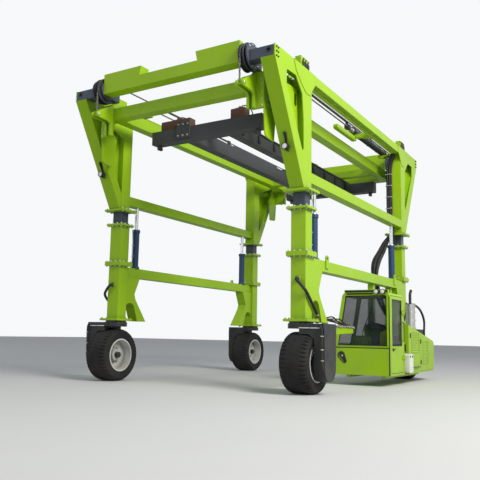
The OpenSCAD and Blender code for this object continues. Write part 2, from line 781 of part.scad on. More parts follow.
// Bolted plate on an end beam's face
bolt_plate = [-640, -320];
module spreader_frame() {
  color(slate) {
    for (e = ends) translate([spreader_shift, 0, 0]) at_end(e) {
      block([lock_l / 2 - spreader_l / 2, lock_l / 2 + spreader_l / 2], [-lock_w / 2 - 120, lock_w / 2 + 120],
            [spreader_z, head_z - 40]);
      if (e > 0) {
        for (y = lock_boxes)
          block([lock_l / 2 - box_l / 2, lock_l / 2 + box_l / 2], y, [head_z - 40 - root, head_z - 40 + box_h]);
        block([lock_l / 2 + spreader_l / 2 - root, lock_l / 2 + spreader_l / 2 + 25], bolt_plate,
              [spreader_z + 40, head_z + 60]);
      }
      for (s = ends) at_side(s) translate([lock_l / 2, lock_w / 2, spreader_z]) {
        translate([0, 0, -40]) cylinder(r = 48, h = 40);
        translate([-52, -29, -90]) cube([104, 58, 50]);
      }
    }
    for (s = ends) at_side(s)
      block([spreader_shift - lock_l / 2, spreader_shift + lock_l / 2], [380, 580], [spreader_z + 30, head_z]);
  }
}

// Wheels

// Space that a fork keeps clear over its tyre
module tyre_room() {
  gap = 20;
  translate([0, wheel_out, wheel_z]) rotate([90, 0, 0]) rotate_extrude($fn = 72)
    polygon([[0, -tyre_w / 2 - 16], [tyre_r - 60, -tyre_w / 2 - 16], [tyre_r + gap - 15, -tyre_w / 2 + 50],
             [tyre_r + gap, -tyre_w / 2 + 95], [tyre_r + gap, tyre_w], [0, tyre_w]]);
}

module fork() {
  leg_in = fork_out - fork_leg_t;
  half = fork_foot_r + 15;
  plate_z = fork_top_z - fork_plate_t;
  color(slate) translate([post_x, post_y, 0]) {
    translate([0, 0, fork_top_z - root]) cylinder(r = slew_r, h = base_flange_z - fork_top_z - seat_gap + root);
    translate([0, 0, fork_top_z - root]) cylinder(r = king_r, h = 260);
    translate([0, 0, plate_z]) cylinder(r = slew_r + 20, h = fork_plate_t);
    translate([0, 0, plate_z]) linear_extrude(fork_plate_t)
      polygon([[-half - 12, 0], [half + 12, 0], [half + 12, fork_out - 20], [half - 8, fork_out], [8 - half, fork_out],
               [-half - 12, fork_out - 20]]);
    difference() {
      block([-half, half], [leg_in - 260, leg_in + root], [wheel_z + tyre_r * 0.8, plate_z + root]);
      tyre_room();
    }
    translate([0, fork_out, 0]) rotate([90, 0, 0]) linear_extrude(fork_leg_t)
      polygon(concat([[half, plate_z + root], [-half, plate_z + root]],
        [for (a = [180:15:360]) [fork_foot_r * cos(a), wheel_z - 70 + fork_foot_r * sin(a)]]));
    translate([0, leg_in + root, wheel_z]) rotate([90, 0, 0]) cylinder(r = 190, h = 60 + root);
    translate([0, leg_in + root, wheel_z]) rotate([90, 0, 0]) cylinder(r = spindle_r, h = leg_in - wheel_out + 190);
  }
}

module tyre() {
  h = tyre_w / 2;
  color(black) translate([post_x, post_y + wheel_out, wheel_z]) rotate([90, 0, 0])
    rotate_extrude($fn = 72) polygon([[rim_r, -h + 20], [tyre_r - 60, -h], [tyre_r - 12, -h + 45],
      [tyre_r, -h + 90], [tyre_r, h - 90], [tyre_r - 12, h - 45], [tyre_r - 60, h], [rim_r, h - 20]]);
}

module rim() {
  h = tyre_w / 2;
  color(steel) translate([post_x, post_y + wheel_out, wheel_z]) rotate([90, 0, 0])
    rotate_extrude($fn = 72) polygon([[spindle_r + run_gap, -20], [110, -20], [110, 0], [rim_r - 26, 20],
      [rim_r - 26, -h + 15], [rim_r - seat_gap, -h + 15], [rim_r - seat_gap, h - 15], [rim_r - 26, h - 15],
      [rim_r - 26, 50], [110, 40], [110, 120], [spindle_r + run_gap, 120]]);
}

module corner(e, s) { at_end(e) at_side(s) children(); }

// Cab

module cab_box(dx0, dx1, y0, y1, z0, z1) {
  block([cab_rear + dx0, cab_rear + dx1], [y0, y1], [z0, z1]);
}

// Outlines of the cab seen from the front and of its panes, t inside its outer faces, above the height z
lean = atan((cab_in - cab_foot) / (cab_top - sill_z));
function cab_arc(y, t, from, to) = [for (k = [0:4]) let (a = from + (to - from) * k / 4)
  [y + (cab_corner_r - t) * cos(a), cab_top - cab_corner_r + (cab_corner_r - t) * sin(a)]];
function cab_top_line(t) = concat(cab_arc(cab_in + cab_corner_r, t, 180 - lean, 90),
  cab_arc(cab_out - cab_corner_r, t, 90, 0));
function cab_outline(t, z) = concat([[cab_foot + t, z], [cab_foot + t, sill_z]], cab_top_line(t), [[cab_out - t, z]]);
function cab_pane(t, z) = let (top = cab_top_line(t), share = (z - sill_z) / (top[0][1] - sill_z))
  concat([[cab_foot + t + share * (top[0][0] - cab_foot - t), z]], top, [[cab_out - t, z]]);

module cab_frame() {
  roof_z = cab_top - pillar;
  color(lime) {
    cab_box(0, cab_len, cab_foot, cab_out, cab_z, cab_z + 40);
    difference() {
      cross_plate([cab_rear, cab_front], cab_outline(0, cab_z + 40 - root));
      cross_plate([cab_rear + pillar, cab_front - pillar], cab_outline(-root, cab_z + 39 - root));
      cross_plate([cab_rear - 1, cab_front + 1], cab_outline(pillar, cab_z + 40));
      block([cab_front - 25, cab_front + 1], [cab_in + cab_corner_r, cab_out - 330], [cab_top - 45, cab_top - 10]);
    }
    difference() {
      cross_plate([cab_rear + pillar - root, cab_front - pillar + root], cab_outline(0, cab_z));
      block([cab_rear, cab_front], [cab_foot - 1, cab_out + 1], [cab_z - 1, roof_z]);
    }
    cab_box(cab_len - pillar, cab_len, cab_foot + pillar - root, cab_out - pillar + root, screen_z - 30, sill_z);
    cab_box(0, panel_t, cab_foot + pillar - root, cab_out - pillar + root, cab_z + 40 - root, screen_z + 200);
    cab_box(pillar - root, cab_len - pillar + root, cab_foot, cab_foot + panel_t, cab_z + 40 - root, sill_z);
    for (z = hinge_z) {
      for (dz = [-16, knuckle_h + 2]) hull() {
        translate([hinge_x, hinge_y, z + dz]) cylinder(r = knuckle_r, h = 14);
        block([cab_rear + 5, cab_rear + pillar - 10], [cab_out - 5, cab_out], [z + dz, z + dz + 14]);
      }
      translate([hinge_x, hinge_y, z - 16]) cylinder(r = hinge_pin_r, h = knuckle_h + 32);
    }
  }
}

// Lower panel of the cab's front with its lamp recess
module cab_front_panel() {
  y = cab_foot + 155;
  z = cab_z + 370;
  color(lime) difference() {
    block([cab_front, cab_front + panel_t], [cab_foot, cab_out], [cab_z, screen_z - 30]);
    hull() {
      bar_x(y, z, 55, [cab_front - 1, cab_front + panel_t + 1]);
      bar_x(y + 65, z - 110, 25, [cab_front - 1, cab_front + panel_t + 1]);
    }
  }
}

module cab_glass() {
  roof_z = cab_top - pillar;
  side_y = cab_foot + 20;
  run = (roof_z - sill_z) * tan(lean);
  color(clear) {
    cross_plate([cab_front - pillar + 10, cab_front - pillar + 10 + glass_t], cab_pane(pillar, sill_z));
    cross_plate([cab_rear + 10, cab_rear + 10 + glass_t], cab_pane(pillar, screen_z + 200));
    cross_plate([cab_rear + pillar, cab_front - pillar],
      [[side_y, sill_z], [side_y + glass_t, sill_z], [side_y + glass_t + run, roof_z], [side_y + run, roof_z]]);
  }
}

module cab_lamps() {
  r = 50;
  color(black) for (y = [cab_out - 240, cab_out - 110]) {
    bar_x(y, cab_top + 5, r, [cab_front + 15, cab_front + 85]);
    block([cab_front, cab_front + 15 + root], [y - 15, y + 15], [cab_top - 45, cab_top - 5]);
  }
}

seat_x = cab_rear + 90;
drive_y = cab_out - drive_inset;
module driver_seat() {
  floor_z = cab_z + 40;
  back_z = floor_z + seat_h;
  color(slate) {
    block([seat_x + 80, seat_x + 80 + pedestal_l], [drive_y - pedestal_w / 2, drive_y + pedestal_w / 2],
          [floor_z, back_z - cushion_h + root]);
    block([seat_x + 20, seat_x + 20 + cushion_l], [drive_y - seat_w / 2, drive_y + seat_w / 2],
          [back_z - cushion_h, back_z]);
    side_plate([drive_y - seat_w / 2 + 10, drive_y + seat_w / 2 - 10], [[seat_x, back_z - root],
      [seat_x + 110, back_z - root], [seat_x + 70, back_z + seat_back_h], [seat_x + 10, back_z + seat_back_h]]);
  }
}

module steering_console() {
  x = cab_front - pillar - 200;
  color(black) {
    block([x + 20, x + 120], [drive_y - 60, drive_y + 60], [cab_z + 40, cab_z + wheel_h - 30]);
    translate([x + 20, drive_y, cab_z + wheel_h]) rotate([0, -25, 0]) {
      translate([0, 0, -60]) cylinder(r = 22, h = 70);
      rotate_extrude() translate([hand_r, 0]) circle(r = 15, $fn = 16);
      for (a = [0:120:240]) rotate([0, 0, a]) translate([0, -12, -6]) cube([hand_r - 5, 24, 12]);
    }
  }
}

door_t = 40;
door_x = [cab_rear + pillar + 10, cab_front - pillar - 10];
door_z = [cab_z + 50, cab_top - 70];
knuckle_r = 16;
knuckle_h = 60;
hinge_pin_r = 9;
hinge_x = door_x[0] - 15;
hinge_y = cab_out + knuckle_r + 5;
hinge_z = [cab_z + 300, cab_top - 400];

module cab_door() {
  y = [cab_out - door_t, cab_out];
  color(lime) difference() {
    union() {
      difference() {
        block(door_x, y, door_z);
        block([door_x[0] + 60, door_x[1] - 60], [y[0] - 1, y[1] + 1], [screen_z + 20, door_z[1] - 60]);
      }
      for (z = hinge_z) {
        translate([hinge_x, hinge_y, z]) cylinder(r = knuckle_r, h = knuckle_h);
        block([hinge_x, door_x[0] + 70], [cab_out + 5, cab_out + 17], [z, z + knuckle_h]);
        block([door_x[0] + 12, door_x[0] + 70], [cab_out - 1, cab_out + 17], [z, z + knuckle_h]);
      }
    }
    for (z = hinge_z) translate([hinge_x, hinge_y, z - 1]) cylinder(r = hinge_pin_r + run_gap, h = knuckle_h + 2);
  }
}

module door_glass() {
  color(clear) block([door_x[0] + 60, door_x[1] - 60], [cab_out - 24, cab_out - 24 + glass_t],
                     [screen_z + 20, door_z[1] - 60]);
}

// Engine side

module fairing_outline(t) {
  tail = -hood_front - fairing_len;
  side_plate([cab_out - t, cab_out], [[-hood_front, cab_z], [-hood_front, hood_top], [tail + 60, hood_z(tail + 60)],
    [tail, tail_top - 60], [tail, cab_z + 150], [tail + 150, cab_z]]);
}

// Louvres in the fairing, as [distance behind the hood's front, length, height, number of slots]
louvres = [[215, 520, 640, 6], [1065, 360, 390, 7]];
louvre_pitch = 70;
louvre_gap = 30;
shield_r = 100;
stack_x = -hood_front - 560;
stack_y = cab_out - shield_r - 20;
collar_z = hood_z(stack_x + shield_r + 12) + 10;
collar_foot = hood_z(stack_x - shield_r - 12) - 5;
outlet_x = -hood_front - 745;
outlet_y = frame_half_w;
outlet_z = hood_z(outlet_x + 60) + 10;
clip_x = -hood_front - 1600;
clip_z = hood_z(clip_x) - 30;
function hood_z(x) = hood_top + (tail_top - hood_top) * (-hood_front - x) / fairing_len;

module engine_hood() {
  inner = cab_in + 20;
  fit = seat_gap;
  color(lime) difference() {
    union() {
      difference() {
        fairing_outline(hood_t);
        for (p = louvres) for (i = [0:p[3] - 1])
          block([-hood_front - p[0] - p[1], -hood_front - p[0]], [cab_out - hood_t - 1, cab_out + 1],
                [p[2] + i * louvre_pitch, p[2] + i * louvre_pitch + louvre_gap]);
      }
      difference() {
        side_plate([inner, cab_out - hood_t], [[-hood_front, cab_z], [-hood_front, hood_top],
          [-hood_rear, hood_z(-hood_rear)], [-hood_rear, cab_z]]);
        side_plate([inner + hood_t, cab_out], [[-hood_front - hood_t, cab_z + hood_t],
          [-hood_front - hood_t, hood_top - hood_t - 8], [-hood_rear + hood_t, hood_z(-hood_rear) - hood_t],
          [-hood_rear + hood_t, cab_z + hood_t]]);
      }
      translate([stack_x, stack_y, collar_foot]) cylinder(r = shield_r + 12, h = collar_z - collar_foot);
      block([outlet_x - 60, outlet_x + 60], [outlet_y - 60, outlet_y + 60], [hood_z(outlet_x - 60) - 5, outlet_z]);
      block([clip_x - 30, clip_x + 30], [stack_y - 35, cab_out - hood_t + root], [clip_z - 40, clip_z]);
    }
    block([hanger_x[1] - hanger_half - fit, hanger_x[1] + hanger_half + fit], [hanger_y[0] - fit, hanger_y[1] + fit],
          [cab_z - 1, hood_top]);
  }
}

module engine_block() {
  color(grey) block([-hood_rear + engine_back, -hood_front - engine_front],
                    [cab_out - engine_out - engine_w, cab_out - engine_out],
                    [cab_z + hood_t, cab_z + hood_t + engine_h]);
}

// Box with a step behind the door
module step_tank() {
  x = [-hood_front + 25, -hood_front + 25 + step_l];
  y = [cab_out + 95 - step_w, cab_out + 95];
  z = cab_z + 35;
  color(steel) {
    translate([0, y[1], 0]) rotate([90, 0, 0]) linear_extrude(step_w)
      polygon(rounded([[x[0] + 30, z + 30], [x[0] + 30, z + step_h - 30], [x[1] - 30, z + step_h - 30],
                       [x[1] - 30, z + 30]], 30));
    block([x[0] + 40, x[1] - 40], [cab_out - 190, cab_out - 120], [cab_z, z + root]);
  }
}

module exhaust() {
  color(grey) translate([stack_x, stack_y, collar_z + seat_gap]) cylinder(r = shield_r, h = shield_h);
  color(black) {
    translate([stack_x, stack_y, collar_z + seat_gap + shield_h - root]) {
      cylinder(r = shield_r + 8, h = 14 + root);
      hose([[0, 0, 5], [0, 0, 90], [0, 0, 180], [-20, 0, pipe_h - 60], [-80, 0, pipe_h]], pipe_r, 3, 12);
    }
    rail_pipe();
  }
}

// Bent pipe from the top of the shield back to its clip on the fairing
module rail_pipe() {
  top = collar_z + shield_h - 40;
  hose([[stack_x - shield_r + 8, stack_y, top], [stack_x - shield_r - 60, stack_y, top + 15],
        [stack_x - 420, stack_y, top + 25], [stack_x - 750, stack_y, top - 50], [clip_x + 60, stack_y, top - 190],
        [clip_x - 30, stack_y, top - 330], [clip_x, stack_y, clip_z + 180], [clip_x, stack_y, clip_z + 80],
        [clip_x, stack_y, clip_z + seat_gap]], 18, 4, 10);
}

// Hoses

// Points between a route's own points, on one smooth curve through them
function between(a, b, c, d, t) = 0.5 * (2 * b + (c - a) * t + (2 * a - 5 * b + 4 * c - d) * t * t
  + (3 * b - a - 3 * c + d) * t * t * t);
function smooth(p, n) = concat([for (i = [0:len(p) - 2]) for (k = [0:n - 1])
  between(p[max(i - 1, 0)], p[i], p[i + 1], p[min(i + 2, len(p) - 1)], k / n)], [p[len(p) - 1]]);
function unit(v) = v / norm(v);
function heading(p, i) = unit(p[min(i + 1, len(p) - 1)] - p[max(i - 1, 0)]);

// A round hose swept along a smooth route
module hose(route, r, n = 4, sides = 8) {
  p = smooth(route, n);
  count = len(p);
  across = [0.31, 0.91, 0.27];
  rings = [for (i = [0:count - 1]) let (t = heading(p, i), u = unit(cross(t, across)), v = cross(t, u))
    for (a = [0:sides - 1]) p[i] + r * (u * cos(a * 360 / sides) + v * sin(a * 360 / sides))];
  walls = [for (i = [0:count - 2]) for (a = [0:sides - 1]) let (b = (a + 1) % sides)
    [i * sides + b, i * sides + a, (i + 1) * sides + a, (i + 1) * sides + b]];
  polyhedron(rings, concat(walls, [[for (a = [0:sides - 1]) a],
    [for (a = [sides - 1:-1:0]) (count - 1) * sides + a]]));
}

// From the bush in a post round its corner and down beside the steering flange
hose_x = post_x - base_flange_w / 2 - hose_r - seat_gap;
hose_y = frame_half_w + hose_r + 15;
wheel_hose_route = [[post_front - post_wall, post_y, hose_hole_z], [post_front + 10, post_y, hose_hole_z],
  [post_front + bush_len + 3, post_y, hose_hole_z], [post_front + bush_len + 18, post_y, hose_hole_z],
  [post_front + 88, post_y + 15, hose_hole_z - 25],
  [post_front + 85, post_y + 90, hose_hole_z - 100], [post_front + 45, hose_y - 10, hose_hole_z - 210],
  [post_front - 135, hose_y, hose_hole_z - 370], [post_front - 315, hose_y, hose_hole_z - 520],
  [hose_x, hose_y, base_flange_z + 120], [hose_x, hose_y, base_flange_z + 45], [hose_x, hose_y, base_flange_z - 20]];
// From the engine up past the lower beam to the middle beam of the upper frame
hose_end_x = -lift_x - 170;
main_hose_route = [[outlet_x, outlet_y, outlet_z + seat_gap], [outlet_x, outlet_y, outlet_z + 80],
  [outlet_x, outlet_y, outlet_z + 200], [outlet_x + 100, frame_in + 60, low_beam_z - 330],
  [outlet_x + 250, frame_in - 5, low_beam_top], [outlet_x + 150, frame_in - 10, low_beam_top + 350],
  [hose_end_x + 410, frame_in - 20, low_beam_top + 650], [hose_end_x + 110, frame_in - 10, mid_beam_z - 370],
  [hose_end_x, post_y - 40, mid_beam_z - 190], [hose_end_x, post_y - 30, mid_beam_z - 110],
  [hose_end_x, post_y - 30, mid_beam_z - 60], [hose_end_x, post_y - 30, mid_beam_z - seat_gap]];

module side_hoses() {
  color(black) for (e = ends) at_end(e) hose(wheel_hose_route, hose_r);
}

module main_hoses() {
  color(black) hose(main_hose_route, bundle_r);
}

union() { side_frame(); hose_tray(); cab_carrier(); }  // left_frame
sleeves();  // left_sleeves
lift_barrels();  // left_lift_barrels
union() { side_hoses(); main_hoses(); }  // left_hoses
cab_frame();
cab_front_panel();
cab_glass();
cab_lamps();
driver_seat();
steering_console();
engine_hood();
engine_block();
step_tank();
exhaust();
cab_door();
door_glass();
at_side(-1) side_frame();  // right_frame
at_side(-1) sleeves();  // right_sleeves
at_side(-1) lift_barrels();  // right_lift_barrels
at_side(-1) side_hoses();  // right_hoses
upper_side();  // upper_left
at_side(-1) upper_side();  // upper_right
crossbeam();  // front_crossbeam
at_end(-1) crossbeam();  // rear_crossbeam
sheave_brackets();
inner_tubes();
lift_rods();
hoist_barrels();
hoist_chains();
leg_lamps();
sheaves();  // front_sheaves
at_end(-1) sheaves();  // rear_sheaves
hoist_rod();  // left_hoist_rod
at_side(-1) hoist_rod();  // right_hoist_rod
head_frame();
spreader_frame();
corner(1, 1) fork();  // front_left_fork
corner(1, -1) fork();  // front_right_fork
corner(-1, 1) fork();  // rear_left_fork
corner(-1, -1) fork();  // rear_right_fork
corner(1, 1) tyre();  // front_left_tyre
corner(1, -1) tyre();  // front_right_tyre
corner(-1, 1) tyre();  // rear_left_tyre
corner(-1, -1) tyre();  // rear_right_tyre
corner(1, 1) rim();  // front_left_rim
corner(1, -1) rim();  // front_right_rim
corner(-1, 1) rim();  // rear_left_rim
corner(-1, -1) rim();  // rear_right_rim
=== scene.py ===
"""Looks of the straddle carrier: finishes for the solids, and the small pieces that dress them.

Lengths are metres. +X points forward, +Y to the cab side and +Z up.
"""

from __future__ import annotations

import json
import logging
import math
from dataclasses import dataclass
from enum import Enum
from typing import Any, Sequence

import bmesh
import bpy
from mathutils import Matrix, Vector


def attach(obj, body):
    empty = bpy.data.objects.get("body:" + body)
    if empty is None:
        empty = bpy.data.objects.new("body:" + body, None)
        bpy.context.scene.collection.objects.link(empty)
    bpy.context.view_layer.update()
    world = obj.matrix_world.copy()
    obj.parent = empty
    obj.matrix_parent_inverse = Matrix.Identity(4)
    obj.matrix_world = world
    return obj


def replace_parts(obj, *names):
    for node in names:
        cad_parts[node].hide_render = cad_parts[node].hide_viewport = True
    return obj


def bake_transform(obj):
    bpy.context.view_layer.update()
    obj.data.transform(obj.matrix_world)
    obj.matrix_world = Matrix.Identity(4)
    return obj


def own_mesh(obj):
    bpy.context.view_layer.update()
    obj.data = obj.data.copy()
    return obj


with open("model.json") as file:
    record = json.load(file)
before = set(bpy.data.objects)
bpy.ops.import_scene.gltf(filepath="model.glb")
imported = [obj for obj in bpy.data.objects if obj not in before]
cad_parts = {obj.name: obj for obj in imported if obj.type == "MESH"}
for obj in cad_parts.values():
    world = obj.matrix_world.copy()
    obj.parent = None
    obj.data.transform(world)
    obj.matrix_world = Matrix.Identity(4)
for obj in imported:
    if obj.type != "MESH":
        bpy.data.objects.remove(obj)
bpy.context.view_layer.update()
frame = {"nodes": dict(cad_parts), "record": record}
LOG = logging.getLogger("carrier")

Point = Sequence[float]
Colour = tuple[float, float, float]
TURN = 2 * math.pi
AHEAD, LEFTWARD, UP = (1, 0, 0), (0, 1, 0), (0, 0, 1)
CORE = 0.0005  # radius at which a round form closes on its axis
SHARP_EDGE = math.radians(32)
BEVEL_EDGE = math.radians(40)
# Colour for dust in corners, which also paints the shade there.
SHADE_AND_DUST = (0.085, 0.075, 0.052)
ROAD_DIRT = (0.20, 0.17, 0.12)
BARE_STEEL = (0.10, 0.095, 0.085)


class End(Enum):
    """The two ends of the machine."""

    FRONT = 1
    REAR = -1


class Side(Enum):
    """The two sides of the machine."""

    LEFT = 1
    RIGHT = -1

    @property
    def frame(self) -> str:
        """Body of the wheeled frame on this side."""
        return f"{self.name.lower()}_side"


class Surface(Enum):
    """What a finish is made of."""

    PAINT = "paint"
    METAL = "metal"
    RUBBER = "rubber"
    PLASTIC = "plastic"
    GLASS = "glass"
    FABRIC = "fabric"
    LENS = "lens"
    PERFORATED = "perforated"


class Graph:
    """Short calls that build one material's nodes."""

    def __init__(self, name: str) -> None:
        """Starts a material with its shader.

        Args:
            name: the material's name.
        """
        self.material = bpy.data.materials.new(name)
        self.material.use_nodes = True
        self.tree = self.material.node_tree
        self.shader = self.tree.nodes["Principled BSDF"]
        self.where = self.add("ShaderNodeTexCoord").outputs["Object"]

    def add(self, kind: str, **inputs: Any) -> bpy.types.Node:
        """Adds a node.

        Args:
            kind: the node's type name.
            inputs: values or sockets by input name, with _ for a space.

        Returns:
            The new node.
        """
        node = self.tree.nodes.new(kind)
        for name, value in inputs.items():
            self.put(node.inputs[name.replace("_", " ")], value)
        return node

    def put(self, socket: bpy.types.NodeSocket, value: Any) -> None:
        """Links a socket into another, or sets its value.

        Args:
            socket: the input.
            value: a socket, or what the input is set to.
        """
        if isinstance(value, bpy.types.NodeSocket):
            self.tree.links.new(value, socket)
        else:
            socket.default_value = value

    def noise(self, scale: float, detail: float = 4.0,
              stretch: Point = (1, 1, 1)) -> bpy.types.NodeSocket:
        """Cloudy noise on the object's own coordinates.

        Args:
            scale: how many clouds to a metre.
            detail: octaves of finer noise.
            stretch: scale along each axis.

        Returns:
            A factor between 0 and 1.
        """
        mapped = self.add("ShaderNodeMapping", Vector=self.where, Scale=tuple(stretch))
        return self.add("ShaderNodeTexNoise", Vector=mapped.outputs[0], Scale=scale,
                        Detail=detail).outputs[0]

    def ramp(self, factor: bpy.types.NodeSocket, low: float, high: float, start: float = 0.0,
             stop: float = 1.0) -> bpy.types.NodeSocket:
        """Maps a factor between two values, held at its ends.

        Args:
            factor: the socket that is mapped.
            low: value that gives start.
            high: value that gives stop.
            start: result at low.
            stop: result at high.

        Returns:
            The mapped factor.
        """
        node = self.add("ShaderNodeMapRange", Value=factor, From_Min=low, From_Max=high,
                        To_Min=start, To_Max=stop)
        return node.outputs[0]

    def sum(self, kind: str, a: Any, b: Any) -> bpy.types.NodeSocket:
        """One step of arithmetic, held between 0 and 1.

        Args:
            kind: Blender's name of the operation.
            a: first number or socket.
            b: second number or socket.

        Returns:
            The result.
        """
        node = self.tree.nodes.new("ShaderNodeMath")
        node.operation = kind
        node.use_clamp = True
        self.put(node.inputs[0], a)
        self.put(node.inputs[1], b)
        return node.outputs[0]

    def mix(self, factor: Any, a: Any, b: Any) -> bpy.types.NodeSocket:
        """Mixes two colours.

        Args:
            factor: 0 gives a, 1 gives b.
            a: colour or socket.
            b: colour or socket.

        Returns:
            The mixed colour.
        """
        node = self.tree.nodes.new("ShaderNodeMix")
        node.data_type = "RGBA"
        self.put(node.inputs[0], factor)
        self.put(node.inputs[6], (*a, 1.0) if isinstance(a, tuple) else a)
        self.put(node.inputs[7], (*b, 1.0) if isinstance(b, tuple) else b)
        return node.outputs[2]

    def height(self, low: float, high: float) -> bpy.types.NodeSocket:
        """Fades with the height above the ground.

        Args:
            low: height that gives 1.
            high: height that gives 0.

        Returns:
            The factor.
        """
        place = self.add("ShaderNodeNewGeometry").outputs["Position"]
        split = self.add("ShaderNodeSeparateXYZ", Vector=place)
        return self.ramp(split.outputs[2], low, high, 1.0, 0.0)

    def corner(self, distance: float) -> bpy.types.NodeSocket:
        """Finds corners by ambient occlusion, for painted shade.

        Args:
            distance: how far a corner reaches.

        Returns:
            A factor that is 1 deep in a corner and 0 on an open face.
        """
        node = self.add("ShaderNodeAmbientOcclusion", Distance=distance)
        node.samples = 4
        return self.ramp(node.outputs["AO"], 0.55, 0.95, 1.0, 0.0)

    def edge(self, radius: float) -> tuple[bpy.types.NodeSocket, bpy.types.NodeSocket]:
        """Rounds the edges in the shading.

        Args:
            radius: radius of the rounding.

        Returns:
            The rounded normal, and a factor that is 1 on an edge.
        """
        node = self.add("ShaderNodeBevel", Radius=radius)
        node.samples = 4
        dot = self.tree.nodes.new("ShaderNodeVectorMath")
        dot.operation = "DOT_PRODUCT"
        self.put(dot.inputs[0], node.outputs[0])
        self.put(dot.inputs[1], self.add("ShaderNodeNewGeometry").outputs["Normal"])
        return node.outputs[0], self.ramp(dot.outputs["Value"], 0.80, 0.985, 1.0, 0.0)

    def bump(self, height: bpy.types.NodeSocket, strength: float, depth: float,
             normal: bpy.types.NodeSocket | None = None) -> bpy.types.NodeSocket:
        """Turns a height into a normal.

        Args:
            height: factor between 0 and 1.
            strength: 0 to 1.
            depth: depth of the relief.
            normal: the normal that it lies on.

        Returns:
            The new normal.
        """
        node = self.add("ShaderNodeBump", Height=height, Strength=strength, Distance=depth)
        if normal is not None:
            self.put(node.inputs["Normal"], normal)
        return node.outputs[0]

    def set(self, **inputs: Any) -> None:
        """Sets or links the shader's own inputs, with _ for a space."""
        for name, value in inputs.items():
            self.put(self.shader.inputs[name.replace("_", " ")], value)


